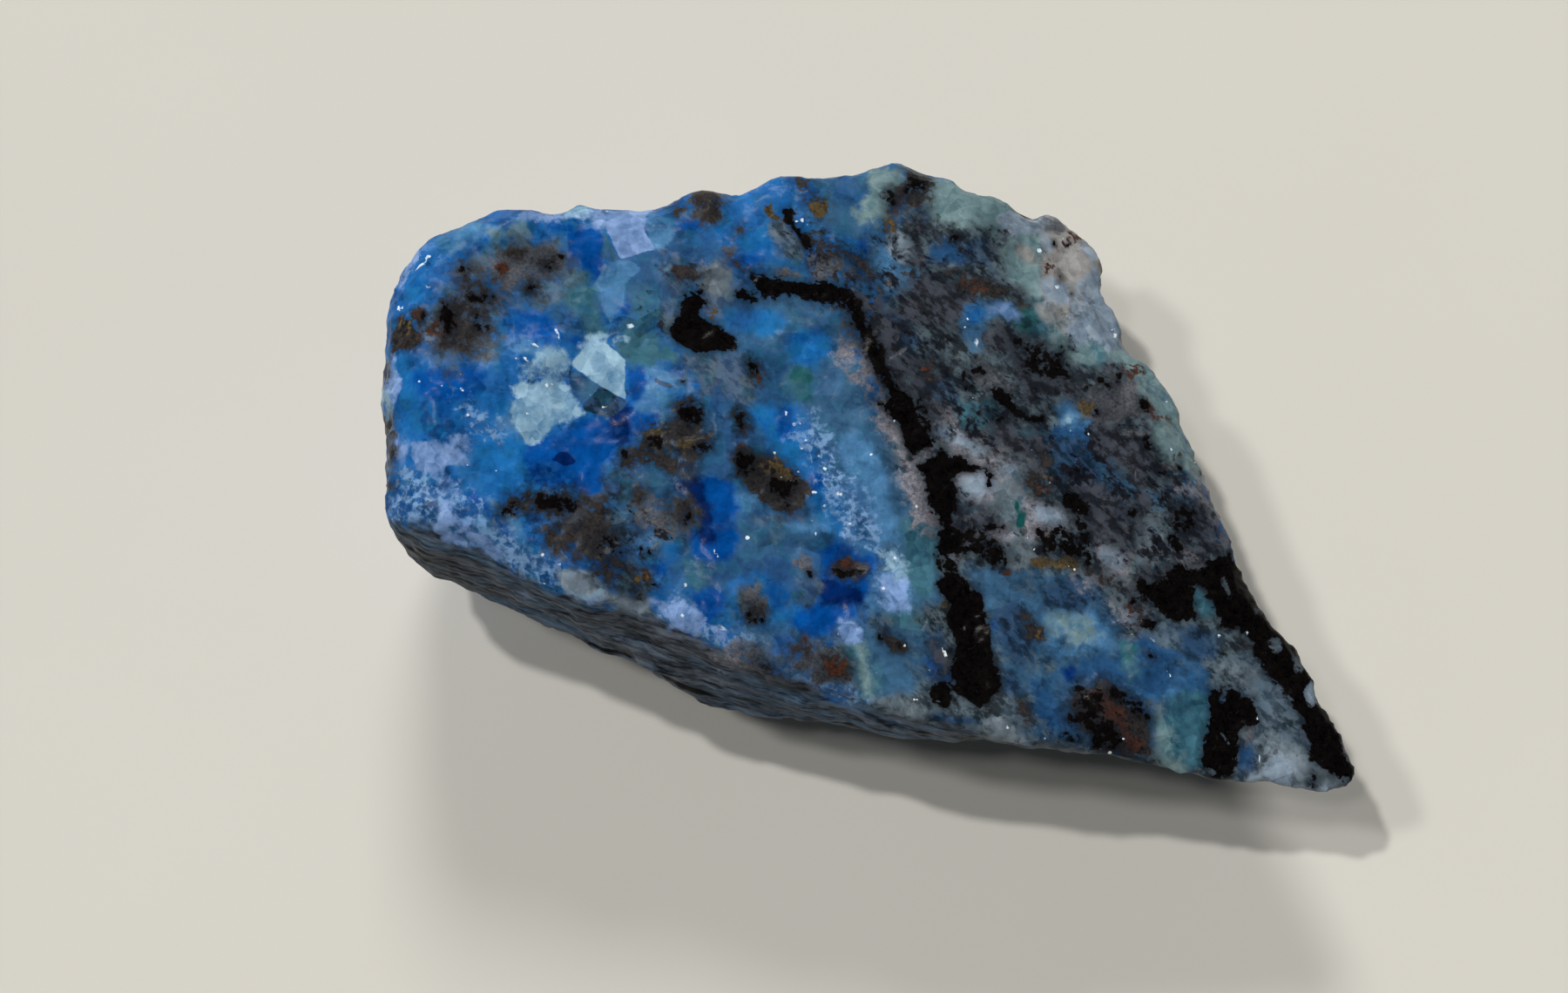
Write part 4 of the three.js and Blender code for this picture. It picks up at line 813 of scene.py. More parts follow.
BLACK = [
    Area(0.13, 1, (785, 338), (804, 337), (808, 346), (802, 360), (806, 368), (823, 375), (843, 387),
        (846, 400), (830, 403), (812, 406), (796, 402), (780, 394), (772, 386), (772, 370), (780, 362),
        (781, 348)),
    Area(0.2, 1, (858, 314), (864, 312), (880, 318), (900, 321), (920, 326), (944, 324), (960, 324),
        (973, 329), (978, 336), (966, 345), (954, 348), (940, 347), (924, 341), (904, 335), (886, 339),
        (876, 340), (870, 333), (858, 324)),
    Area(0.15, 1, (846, 336), (852, 331), (860, 334), (868, 343), (860, 346), (843, 346)),
    Streak(0.2, 1, 15, (972, 342), (984, 364), (996, 388), (1006, 408), (1015, 430), (1026, 450),
        (1036, 466)),
    Area(0.15, 1, (1020, 456), (1032, 448), (1044, 452), (1053, 466), (1058, 486), (1063, 500),
        (1077, 504), (1072, 512), (1056, 518), (1044, 523), (1040, 512), (1038, 500), (1030, 484),
        (1024, 474), (1019, 464)),
    Streak(0.2, 0.9, 6, (1052, 462), (1062, 482), (1068, 500)),
    Streak(0.15, 0.8, 3, (1002, 456), (1012, 464), (1022, 468)),
    Area(0.18, 1, (1051, 534), (1072, 521), (1079, 510), (1087, 513), (1089, 524), (1104, 528),
        (1121, 537), (1118, 541), (1100, 540), (1091, 550), (1098, 566), (1100, 580), (1094, 590),
        (1092, 604), (1096, 612), (1084, 620), (1080, 600), (1068, 582), (1062, 562), (1062, 548)),
    Streak(0.12, 0.9, 3, (1104, 540), (1130, 538), (1135, 546), (1136, 556)),
    Area(0.25, 0.88, (1078, 612), (1094, 604), (1116, 610), (1130, 620), (1144, 626), (1154, 634),
        (1156, 646), (1144, 648), (1130, 640), (1118, 636), (1106, 636), (1100, 630), (1090, 632),
        (1084, 640), (1076, 632)),
    Area(0.15, 0.95, (1076, 634), (1084, 632), (1088, 642), (1096, 646), (1092, 656), (1080, 652)),
    Streak(0.15, 0.95, 5, (1134, 606), (1150, 605)),
    Area(0.15, 1, (1137, 448), (1146, 449), (1157, 451), (1164, 460), (1167, 468), (1180, 476),
        (1200, 478), (1199, 484), (1180, 484), (1168, 481), (1157, 469), (1146, 460)),
    *spots(0.2, 0.9, (1150, 477, 6, 4), (1121, 425, 8, 4, 20), (1302, 686, 4, 4), (806, 514, 6, 4),
        (1300, 589, 6, 5)),
    Streak(0.2, 0.9, 7, (1106, 430), (1112, 447)),
    Area(0.13, 1, (1080, 664), (1088, 656), (1098, 658), (1110, 668), (1114, 678), (1126, 684),
        (1128, 698), (1134, 712), (1138, 735), (1141, 757), (1148, 776), (1148, 794), (1138, 804),
        (1126, 814), (1118, 808), (1110, 800), (1098, 796), (1096, 780), (1092, 768), (1096, 745),
        (1092, 722), (1086, 708), (1092, 694), (1084, 688), (1079, 676)),
    Area(0.2, 1, (1071, 786), (1084, 784), (1094, 790), (1092, 802), (1085, 813), (1076, 804),
        (1068, 799)),
    Area(0.18, 1, (1300, 664), (1316, 666), (1340, 665), (1360, 668), (1370, 672), (1372, 690),
        (1378, 700), (1384, 710), (1364, 712), (1350, 714), (1336, 706), (1326, 697), (1316, 686),
        (1308, 676)),
    Area(0.2, 1, (1376, 652), (1390, 642), (1412, 636), (1432, 650), (1448, 684), (1466, 706),
        (1490, 726), (1510, 752), (1526, 784), (1532, 812), (1548, 832), (1566, 860), (1586, 892),
        (1560, 902), (1540, 894), (1522, 886), (1508, 874), (1504, 852), (1494, 828), (1482, 808),
        (1472, 790), (1456, 774), (1440, 760), (1436, 738), (1418, 722), (1404, 716), (1396, 700),
        (1384, 682), (1374, 668)),
    Area(0.15, 1, (1388, 794), (1402, 786), (1416, 788), (1424, 800), (1436, 804), (1444, 816),
        (1446, 828), (1436, 828), (1424, 838), (1420, 856), (1420, 876), (1414, 892), (1396, 893),
        (1382, 880), (1380, 858), (1388, 832), (1386, 812)),
    Area(0.2, 1, (1216, 568), (1224, 564), (1238, 568), (1250, 580), (1248, 592), (1236, 588),
        (1222, 578)),
    Area(0.2, 0.95, (1192, 608), (1204, 610), (1216, 606), (1234, 610), (1242, 616), (1244, 636),
        (1236, 642), (1222, 634), (1204, 638), (1198, 624)),
    Streak(0.2, 1, 8, (1240, 600), (1246, 622), (1250, 646)),
    Area(0.2, 0.9, (1278, 790), (1300, 798), (1304, 810), (1290, 806), (1278, 798)),
    Streak(0.25, 0.9, 8, (1306, 812), (1318, 824)),
    Spot(0.35, 0.8, 1244, 816, 14, 20, 30),
    *spots(0.3, 0.8, (1270, 846, 20, 14, 30), (700, 628, 10, 10), (1226, 848, 6, 4)),
    Spot(0.15, 1, 1316, 718, 8, 5),
    Area(0.2, 1, (1342, 616), (1350, 614), (1356, 628), (1354, 634), (1344, 626)),
    Area(0.25, 0.9, (776, 470), (790, 462), (802, 472), (806, 484), (796, 486), (784, 480)),
    Spot(0.25, 0.85, 756, 508, 9, 5),
    Spot(0.12, 0.95, 717, 522, 4, 4),
    Area(0.2, 0.9, (842, 522), (852, 518), (866, 524), (868, 540), (858, 546), (848, 538)),
    Area(0.25, 0.9, (884, 546), (898, 552), (912, 556), (906, 570), (892, 568), (882, 558)),
    Spot(0.12, 0.95, 905, 580, 5, 3, -20),
    *spots(0.15, 0.9, (850, 484, 4, 9, -10), (1024, 228, 4, 7), (859, 704, 2, 5), (971, 659, 12, 3, 10),
        (988, 657, 5, 5), (1317, 508, 4, 10, -20), (1012, 730, 4, 3, 40), (1238, 788, 6, 3)),
    *spots(0.15, 0.85, (866, 420, 3, 6, -20), (610, 331, 3, 4), (631, 306, 4, 3), (872, 709, 5, 3),
        (1247, 447, 4, 4)),
    *spots(0.12, 0.9, (903, 243, 5, 1.5), (483, 366, 2, 5), (1264, 438, 7, 4, 30), (788, 595, 5, 8),
        (1322, 752, 5, 2, 30)),
    Streak(0.12, 1, 8, (906, 252), (914, 262), (922, 272), (930, 284)),
    Area(0.2, 0.95, (1042, 206), (1052, 200), (1060, 208), (1058, 216), (1046, 222), (1038, 220)),
    *spots(0.2, 0.85, (534, 311, 8, 5), (1260, 427, 4, 3), (1540, 892, 12, 6, 30)),
    Spot(0.2, 0.8, 552, 370, 8, 6, 30),
    Spot(0.25, 0.75, 513, 366, 5, 12),
    Streak(0.15, 0.75, 4, (540, 343), (552, 346), (566, 340)),
    Spot(0.12, 0.7, 645, 294, 3, 2),
    Spot(0.25, 0.8, 655, 578, 8, 8),
    Spot(0.3, 0.7, 632, 576, 14, 6),
    Spot(0.25, 0.7, 586, 588, 8, 4, -20),
    Spot(0.1, 1, 931, 661, 4, 5),
    *spots(0.1, 0.9, (1096, 273, 3, 1.5), (1286, 486, 4, 3), (1258, 474, 3, 3), (723, 628, 3),
        (745, 634, 3), (712, 632, 3), (749, 672, 3)),
    Spot(0.12, 1, 1284, 432, 4, 8),
    Area(0.12, 1, (1308, 460), (1314, 458), (1318, 466), (1317, 475), (1310, 470)),
    Spot(0.12, 1, 1333, 543, 5, 4, 20),
    Spot(0.1, 1, 1355, 538, 3, 8, -10),
    Spot(0.08, 1, 1225, 281, 2),
    Spot(0.08, 0.9, 1210, 279, 2),
    Spot(0.07, 1, 1230, 338, 1.8),
    Spot(0.08, 0.9, 736, 630, 2),
    Spot(0.1, 0.8, 786, 438, 3, 2),
    Streak(0.15, 0.9, 4, (1088, 722), (1092, 732)),
    Streak(0.25, 0.8, 5, (1508, 890), (1506, 908)),
    Area(0.2, 1, (1336, 652), (1352, 648), (1368, 654), (1382, 660), (1378, 674), (1356, 672),
        (1338, 668)),
    Area(0.35, 0.85, (1166, 392), (1190, 398), (1214, 408), (1222, 428), (1204, 432), (1182, 424)),
    Area(0.3, 0.85, (1350, 582), (1366, 584), (1370, 606), (1358, 612), (1350, 600)),
]
GREEN = [
    Spot(0.8, 0.5, 918, 440, 11, 12),
    Area(0.12, 1, (1163, 574), (1168, 578), (1170, 588), (1178, 590), (1177, 602), (1171, 608),
        (1166, 600), (1167, 592), (1162, 584)),
    Spot(0.6, 0.28, 1176, 368, 8, 10),
    Spot(0.5, 0.22, 1298, 752, 9, 14, -40),
    Spot(0.3, 0.5, 1330, 828, 8, 6),
]
# Painted highlights: tiny pale sparkles where small crystals catch the light, drawn as colour.
GLINT = [
    Streak(0.05, 1, 2.4, (472, 312), (475, 306), (484, 300), (487, 294)),
    Streak(0.05, 0.9, 1.8, (478, 298), (490, 294)),
    Spot(0.1, 0.7, 488, 328, 3, 1.1, 10),
    Spot(0.1, 0.8, 456, 353, 2.2, 3),
    Streak(0.05, 1, 2.6, (638, 378), (641, 386), (640, 394)),
    Streak(0.05, 0.9, 2, (606, 391), (612, 395), (622, 399)),
    *spots(0.05, 1, (603, 412, 3, 1.5, 20), (529, 447, 3, 1.5, 30), (718, 305, 1.5, 1.2), (677, 453, 1.4),
        (623, 637, 1.7), (643, 648, 2.2, 1.4), (619, 655, 1.7), (909, 553, 2.2, 1.4), (906, 559, 1.2),
        (922, 253, 1.2, 2.2), (927, 258, 1.2, 1.8), (920, 515, 1.7), (947, 537, 1.8),
        (968, 585, 2.5, 1.5), (936, 613, 1.8), (1200, 847, 1.2), (1274, 864, 2.2, 1.7, 20),
        (1250, 497, 1.8), (1244, 490, 2, 1, -30), (1276, 379, 2.2, 1.5, -30), (1344, 517, 1, 2.2, -30),
        (1432, 726, 1.4, 2.2, -10)),
    *spots(0.05, 0.9, (592, 411, 1.4), (627, 443, 1.8, 2.5, -30), (634, 441, 1.8, 1), (537, 476, 1.5),
        (570, 541, 1.4), (537, 534, 1.4), (625, 670, 1.4), (897, 548, 1.8, 1, 30), (902, 477, 1.4),
        (956, 559, 1.4), (932, 599, 1.4), (963, 728, 1, 3, -20), (963, 738, 1.2), (1001, 793, 1.8, 1.4),
        (1290, 848, 1.5), (1265, 859, 1.8, 1.2), (1237, 488, 1.2), (1224, 364, 2.2, 1.4),
        (1185, 516, 1.5), (1188, 630, 2, 1.2, -40), (1183, 626, 1.2, 1.8), (1233, 654, 1.4)),
    *spots(0.06, 1, (606, 474, 1.8, 2.2), (695, 242, 2.2, 1.5), (947, 580, 2.2, 2.2)),
    *spots(0.05, 0.8, (527, 430, 1.5), (505, 442, 1.7), (476, 437, 1.8), (445, 468, 1.5), (919, 487, 1.4),
        (991, 477, 1.4), (1000, 522, 1.4), (784, 706, 2), (1339, 461, 1.2), (1205, 554, 1.4),
        (1180, 618, 1.2), (1226, 650, 1.2)),
    Spot(0.08, 0.9, 693, 468, 2, 1.5),
    Spot(0.1, 0.7, 724, 373, 3, 2.2),
    *spots(0.06, 0.9, (914, 254, 3.8, 1.5, -25), (965, 568, 2.2), (1027, 484, 1.7), (1053, 581, 1.5),
        (858, 617, 2, 2.5), (1051, 804, 2.2, 1.8), (1214, 329, 2, 1.5), (1114, 225, 1.4, 2),
        (1323, 734, 3.8, 1.5, 40)),
    Streak(0.05, 1, 2, (818, 627), (820, 634), (826, 642)),
    Spot(0.1, 0.9, 786, 673, 1.5, 3),
    Spot(0.1, 0.8, 828, 722, 4.5, 2.2),
    Spot(0.04, 1, 1038, 741, 1.4, 2, -30),
    *spots(0.06, 0.8, (1027, 641, 1.8), (1014, 675, 1.5), (1006, 772, 1.5, 2.2), (1067, 769, 2.2, 1.5),
        (1230, 494, 2.2), (1279, 386, 1.5, 2.2), (1237, 268, 3, 1.5, 20), (1373, 530, 1.5),
        (1300, 728, 2), (1444, 824, 1.8), (1446, 870, 1.5, 3.8, -20), (1156, 834, 2.2, 3.8, -30),
        (1111, 366, 2)),
    Spot(0.08, 0.8, 1193, 288, 2.2, 3, -20),
    *spots(0.06, 0.7, (1220, 274, 1.5), (1400, 730, 1.8), (1495, 842, 1.5), (1084, 748, 1.2, 6, -20),
        (1108, 376, 1.5), (1118, 456, 2.2, 1.5)),
    Spot(0.04, 1, 1238, 586, 1.4),
    Streak(0.05, 0.9, 1.8, (1340, 768), (1343, 776)),
    Spot(0.05, 0.7, 1351, 688, 1.4),
    Spot(0.1, 0.6, 1122, 396, 2.2, 4.5),
    *spots(0.08, 1, (902, 474, 1.6, 1.2, 30), (911, 487, 2.2, 1.1, 50), (925, 505, 2, 1.2),
        (938, 522, 2.2, 1.1, 50), (948, 537, 2, 1.4), (957, 551, 2.2, 1.1, 60), (963, 567, 2, 1.6),
        (969, 585, 2.4, 1.4, 40), (975, 601, 2, 1.5), (890, 520, 2, 1.2), (917, 541, 2, 1.2),
        (935, 566, 2, 1.2)),
]
LEDGE = [
    Area(0.45, 1, (430, 594), (455, 603), (472, 607), (500, 616), (530, 625), (560, 637), (590, 653),
        (620, 670), (640, 680), (670, 691), (700, 696), (735, 698), (748, 704), (772, 715), (800, 731),
        (820, 741), (840, 751), (860, 760), (880, 768), (905, 776), (930, 786), (950, 796), (975, 808),
        (990, 816), (1010, 820), (1040, 826), (1070, 832), (1100, 836), (1130, 844), (1160, 850),
        (1200, 860), (1240, 864), (1200, 960), (900, 980), (400, 800)),
]
BLACK_GAPS = [
    Area(0.2, 1, (1369, 672), (1377, 674), (1382, 682), (1391, 694), (1397, 698), (1398, 708),
        (1383, 715), (1374, 704), (1370, 690)),
    Area(0.1, 1, (1499, 786), (1504, 781), (1508, 786), (1513, 798), (1512, 808), (1506, 813),
        (1500, 808), (1496, 796)),
    Spot(0.15, 0.9, 1463, 739, 7, 7, 30),
    Spot(0.2, 0.7, 1446, 700, 5, 7),
    Spot(0.2, 0.7, 1492, 760, 4, 8),
    Area(0.2, 0.8, (1536, 842), (1544, 850), (1552, 864), (1550, 872), (1540, 862)),
    Streak(0.1, 0.8, 3, (1404, 664), (1408, 676), (1412, 686)),
    Streak(0.08, 0.8, 2, (1234, 620), (1240, 632), (1244, 642)),
    Streak(0.08, 0.7, 2, (1400, 840), (1406, 848), (1412, 857)),
    Spot(0.15, 0.7, 1404, 800, 3, 6, 20),
]
PALE_GAPS = [
    Area(0.4, 1, (1104, 560), (1128, 548), (1150, 540), (1172, 546), (1184, 560), (1196, 574),
        (1222, 588), (1236, 602), (1226, 614), (1198, 610), (1192, 626), (1176, 628), (1164, 612),
        (1150, 596), (1130, 598), (1110, 580)),
    Area(0.4, 1, (1104, 348), (1140, 342), (1172, 356), (1172, 378), (1148, 372), (1132, 386),
        (1122, 404), (1106, 402), (1100, 374)),
    Area(0.4, 1, (1310, 474), (1345, 478), (1375, 530), (1392, 560), (1366, 556), (1326, 526)),
    Area(0.4, 1, (1196, 376), (1222, 372), (1240, 396), (1228, 410), (1206, 402)),
    Area(0.4, 1, (1202, 466), (1222, 456), (1242, 462), (1252, 490), (1232, 502), (1210, 496)),
    Area(0.4, 1, (1140, 244), (1170, 240), (1200, 250), (1196, 272), (1160, 274), (1140, 264)),
    Area(0.4, 1, (1248, 446), (1282, 438), (1302, 450), (1298, 476), (1270, 484), (1250, 474)),
]


class Mineral:
    """How one mineral looks, and where it is.

    tones are its dark and pale colours, and grain is the pattern that it takes them in. wander and
    specks are how far the clouds and the grit move its border, fade is how softly it sets in, and
    gaps are shapes that it leaves open.
    """

    def __init__(self, name, shapes, tones, grain, wander, specks, fade, roughness, gaps=()):
        self.name = name
        self.shapes = shapes
        self.tones = tones
        self.grain = grain
        self.wander = wander
        self.specks = specks
        self.fade = fade
        self.roughness = roughness
        self.gaps = gaps


# From the lowest to the topmost: each covers those before it.
MINERALS = [
    Mineral("dusk", DUSK, ((8, 13, 19), (92, 108, 118)), "blotched", 0.9, 0.4, 1.0, 0.3),
    Mineral("veil", VEIL, ((14, 42, 72), (54, 104, 150)), "cloudy", 0.8, 0.3, 1.0, 0.26),
    Mineral("steel", STEEL, ((20, 52, 80), (68, 110, 146)), "cloudy", 0.7, 0.3, 1.0, 0.3),
    Mineral("sky", SKY, ((34, 76, 112), (88, 142, 190)), "cloudy", 0.7, 0.3, 0.9, 0.3),
    Mineral("bright", BRIGHT, ((4, 66, 124), (34, 118, 190)), "cloudy", 0.6, 0.3, 0.9, 0.26),
    Mineral("deep", DEEP, ((0, 42, 102), (4, 86, 170)), "cloudy", 0.6, 0.3, 0.8, 0.26),
    Mineral("navy", NAVY, ((0, 10, 46), (0, 42, 108)), "cloudy", 0.5, 0.3, 0.8, 0.25),
    Mineral("blue", BLUE, ((8, 36, 68), (44, 88, 134)), "cloudy", 0.8, 0.5, 0.9, 0.28),
    Mineral("crumb", CRUMB, ((24, 62, 104), (118, 156, 200)), "sugary", 1.4, 1.0, 1.0, 0.26),
    Mineral("teal", TEAL, ((22, 58, 76), (72, 120, 138)), "crystalline", 0.8, 0.3, 1.0, 0.3),
    Mineral("mint", MINT, ((74, 104, 112), (130, 154, 158)), "crystalline", 0.7, 0.4, 0.9, 0.32),
    Mineral("haze", HAZE, ((32, 46, 58), (86, 104, 120)), "blotched", 0.9, 0.4, 1.0, 0.34),
    Mineral("slate", SLATE, ((12, 24, 36), (46, 74, 106)), "blotched", 0.6, 0.3, 0.9, 0.28),
    Mineral("ledge", LEDGE, ((4, 7, 12), (92, 100, 112)), "layered", 0.8, 0.4, 0.8, 0.48),
    Mineral("quartz", QUARTZ, ((58, 70, 78), (124, 137, 148)), "crystalline", 0.8, 0.5, 0.9, 0.34),
    Mineral("smoky", SMOKY, ((96, 95, 94), (160, 160, 160)), "crystalline", 0.4, 0.3, 0.9, 0.3),
    Mineral("lilac", LILAC, ((64, 96, 142), (144, 176, 228)), "crystalline", 0.9, 0.5, 0.8, 0.3),
    Mineral("pearl", PEARL, ((52, 55, 66), (158, 156, 166)), "mottled", 1.6, 1.1, 1.6, 0.34),
    Mineral("frost", FROST, ((78, 122, 158), (166, 200, 220)), "crystalline", 0.9, 0.5, 0.9, 0.28),
    Mineral("milk", MILK, ((86, 104, 124), (152, 168, 184)), "crystalline", 0.8, 0.5, 0.9, 0.26),
    Mineral("tan", TAN, ((30, 33, 40), (106, 109, 116)), "mottled", 1.2, 0.9, 1.1, 0.4),
    Mineral("murk", MURK, ((2, 3, 6), (34, 33, 40)), "mottled", 0.8, 1.0, 0.9, 0.22, PALE_GAPS),
    Mineral("umber", UMBER, ((2, 2, 5), (66, 70, 80)), "blotched", 1.4, 1.3, 0.8, 0.24, PALE_GAPS),
    Mineral("brown", BROWN, ((5, 5, 7), (58, 54, 54)), "mottled", 1.2, 1.5, 0.6, 0.34),
    Mineral("rust", RUST, ((18, 11, 9), (84, 52, 40)), "mottled", 1.2, 1.3, 0.6, 0.36),
    Mineral("gold", GOLD, ((16, 12, 8), (100, 86, 58)), "mottled", 1.0, 1.2, 0.6, 0.32),
    Mineral("black", BLACK, ((0, 0, 0), (16, 13, 13)), "mottled", 1.0, 1.3, 0.5, 0.2, BLACK_GAPS),
    Mineral("green", GREEN, ((4, 46, 50), (36, 104, 104)), "cloudy", 0.6, 0.3, 0.8, 0.3),
    # glint is painted highlight: the sparkles of small crystals that catch the light.
    Mineral("glint", GLINT, ((150, 185, 220), (240, 246, 255)), "mottled", 0.0, 0.9, 0.5, 0.3),
]
TINTED_UP_TO = "ledge"  # the tints lie over the minerals before this one
UNTINTED = ("dusk", "deep", "navy")
HALOED = ("umber", "brown", "black")
STAINS = ("murk",)  # these show only in blotches and dashes

# Tones are sRGB colours, 0 to 255.
AZURITE_TONES = ((12, 50, 94), (28, 94, 160), (92, 140, 192))
AZURITE_ROUGHNESS = 0.25
LILAC_TINT = (66, 108, 172)
LILAC_SHARE = 0.16
TEAL_TINT = (34, 106, 126)
TEAL_SHARE = 0.18
HALO_TONE = (22, 28, 36)
HALO_STRENGTH = 0.6
HALO_REACH = (-5.0, 0.5)  # from nothing to full strength, in the depth of the mineral it surrounds
LAYER_BLUES = ((3, 12, 28), (84, 108, 132))
LAYER_DARK = (10, 9, 11)
LEVEL_GAIN = 0.93  # how bright a level surface shows, as a share of its own colour
STONE_SPECULAR = 0.06

# Grains, bump and layers. Sizes and heights are in millimetres.
GRAIN_SIZES = (0.4, 1.0, 2.4)
# Painted facet shading: each grain goes from light to dark across it, as on a tilted crystal face.
GRAIN_SLOPE = 1.6  # how much a grain's shade changes from side to side
BUMP_HEIGHT = 0.08
BUMP_STRENGTH = 0.6
BUMP_SHARES = (0.6, 0.35)  # of the fine noise, and of the small grains
RIM_TURN = math.radians(-18.5)  # the foliated wall's layers run this way about the vertical
LAYER_STRETCH = 6.0
STAIN_TURN = math.radians(-42)
STAIN_STRETCH = 1.8
DASH_TURN = math.radians(-28)
DASH_STRETCH = 2.6


# ---- Noise over points in millimetres ---------------------------------------------------------


def lattice_value(cells, seed):
    """A repeatable number from -1 to 1 for every lattice cell. The large factors scatter the bits."""
    mixed = cells[:, 0] * 374761393 + cells[:, 1] * 668265263 + cells[:, 2] * 1442695041
    mixed = (mixed + seed * 1274126177) & 0xFFFFFFFF
    mixed = ((mixed ^ (mixed >> 13)) * 1274126177) & 0xFFFFFFFF
    return (mixed ^ (mixed >> 16)) / 0x7FFFFFFF - 1.0


def noise(points, size, seed):
    """Smooth noise from -1 to 1 with lumps of the given size."""
    at = points / size
    cell = np.floor(at).astype(np.int64)
    part = at - cell
    ease = part * part * (3 - 2 * part)
    total = np.zeros(len(points))
    for corner in range(8):
        step = np.array([corner & 1, corner >> 1 & 1, corner >> 2 & 1])
        weight = np.prod(np.where(step, ease, 1 - ease), axis=1)
        total += weight * lattice_value(cell + step, seed)
    return total


def rough(points, size, octaves, seed):
    """Noise summed over octaves, each with lumps half as large as the one before, and fainter."""
    total = np.zeros(len(points))
    for octave in range(octaves):
        total += noise(points, size / 2**octave, seed + octave) * OCTAVE_FADE**octave
    return total


def ease_step(low, high, value):
    """0 below low, 1 above high, and smooth between them."""
    share = np.clip((value - low) / (high - low), 0, 1)
    return share * share * (3 - 2 * share)


def plates(points, size, seed):
    """Relief of flat tilted crystal plates, -1 to 1: each point lies on its nearest plate."""
    at = points / size
    base = np.floor(at).astype(np.int64)
    nearest = np.full(len(points), np.inf)
    relief = np.zeros(len(points))
    for index in range(27):
        cell = base + np.array([index % 3 - 1, index // 3 % 3 - 1, index // 9 - 1])
        jitter = np.stack([lattice_value(cell, seed + axis) for axis in range(3)], 1)
        off = at - (cell + 0.5 + PLATE_JITTER * jitter)
        distance = np.einsum("ij,ij->i", off, off)
        tilt = np.stack([lattice_value(cell, seed + 3 + axis) for axis in range(3)], 1)
        closer = distance < nearest
        nearest = np.where(closer, distance, nearest)
        relief = np.where(closer, np.einsum("ij,ij->i", off, tilt), relief)
    return relief


# ---- The stone's surface ----------------------------------------------------------------------


def remeshed(node):
    """A new mesh around a CAD node's shape, with even small faces."""
    source = bpy.data.objects.new("stone_source", node.data.copy())
    bpy.context.scene.collection.objects.link(source)
    remesh = source.modifiers.new("even_faces", "REMESH")
    remesh.mode = "VOXEL"
    remesh.voxel_size = VOXEL * MM
    graph = bpy.context.evaluated_depsgraph_get()
    mesh = bpy.data.meshes.new_from_object(source.evaluated_get(graph))
    bpy.data.objects.remove(source)
    mesh.materials.clear()
    return mesh


def smoothed(points, edges, rounds):
    """The points with steps and creases eased, but with the tips and edges kept out where they are."""
    count = np.bincount(edges.ravel(), minlength=len(points))[:, None]
    for share in SMOOTHING_SHARES * rounds:
        total = np.zeros_like(points)
        for axis in range(3):
            total[:, axis] += np.bincount(edges[:, 0], points[edges[:, 1], axis], len(points))
            total[:, axis] += np.bincount(edges[:, 1], points[edges[:, 0], axis], len(points))
        points = points + share * (total / count - points)
    return points


def refine_seen_side(mesh):
    """Splits the faces turned towards the view, and makes every face a triangle."""
    to_eye = Vector(-FORWARD)
    work = bmesh.new()
    work.from_mesh(mesh)
    work.normal_update()
    seen = [face for face in work.faces if face.normal.dot(to_eye) > SEEN_SIDE]
    edges = list({edge for face in seen for edge in face.edges})
    edges.sort(key=lambda edge: edge.index)
    bmesh.ops.subdivide_edges(work, edges=edges, cuts=1, use_grid_fill=True)
    bmesh.ops.triangulate(work, faces=work.faces)
    work.to_mesh(mesh)
    work.free()


def mesh_points(mesh):
    """The mesh's vertices in millimetres."""
    flat = np.empty(len(mesh.vertices) * 3, np.float32)
    mesh.vertices.foreach_get("co", flat)
    return flat.reshape(-1, 3).astype(float) / MM


def set_points(mesh, points):
    """Moves the mesh's vertices to points in millimetres."""
    mesh.vertices.foreach_set("co", (points * MM).astype(np.float32).ravel())
    mesh.update()


def mesh_edges(mesh):
    """The numbers of the two vertices at the ends of each edge."""
    flat = np.empty(len(mesh.edges) * 2, np.int32)
    mesh.edges.foreach_get("vertices", flat)
    return flat.reshape(-1, 2)


def mesh_normals(mesh):
    """The direction that the surface faces at each vertex."""
    flat = np.empty(len(mesh.vertices) * 3, np.float32)
    mesh.vertex_normals.foreach_get("vector", flat)
    return flat.reshape(-1, 3).astype(float)


def relief(points, normals):
    """How far the surface stands out at each point, in millimetres."""
    # The last number of each noise is its seed.
    wall = 1 - ease_step(*WALL_TURN, normals[:, 2])
    in_field = ease_step(*PLATE_FIELD_EDGE, noise(points, PLATE_FIELD, 41))
    height = LUMPS[0] * rough(points, LUMPS[1], 3, 11)
    height += GRAINS[0] * noise(points, GRAINS[1], 21)
    height += PLATES[0] * plates(points, PLATES[1], 31) * in_field
    height += wall * (CRAGS[0] * rough(points, CRAGS[1], 3, 51))
    height += wall * LAYERS[0] * rough(along_layers(points), LAYERS[1], 2, 57)
    return height


def project(points):
    """Where each point falls in the frame, in pixels."""
    off = points - EYE
    depth = off @ FORWARD
    across = FRAME_CENTRE[0] + FOCAL_PX * (off @ RIGHT) / depth
    down = FRAME_CENTRE[1] - FOCAL_PX * (off @ UP) / depth
    return np.stack([across, down], 1)


def along_layers(points):
    """The points with the direction of the foliated wall's layers drawn together."""
    cos, sin = math.cos(RIM_TURN), math.sin(RIM_TURN)
    along = (points[:, 0] * cos + points[:, 1] * sin) / LAYER_STRETCH
    return np.stack([along, points[:, 1] * cos - points[:, 0] * sin, points[:, 2]], 1)


def marked_px(points, normals):
    """The frame position that each point takes its minerals from. The hidden sides wander off."""
    px = project(points)
    hidden = ease_step(*HIDDEN_TURN, normals @ FORWARD)
    for axis in range(2):
        drift = HIDDEN_DRIFT[0] * noise(points, HIDDEN_DRIFT[1], 61 + axis)
        ripple = HIDDEN_RIPPLE[0] * noise(points, HIDDEN_RIPPLE[1], 65 + axis)
        px[:, axis] += hidden * (drift + ripple)
    return px


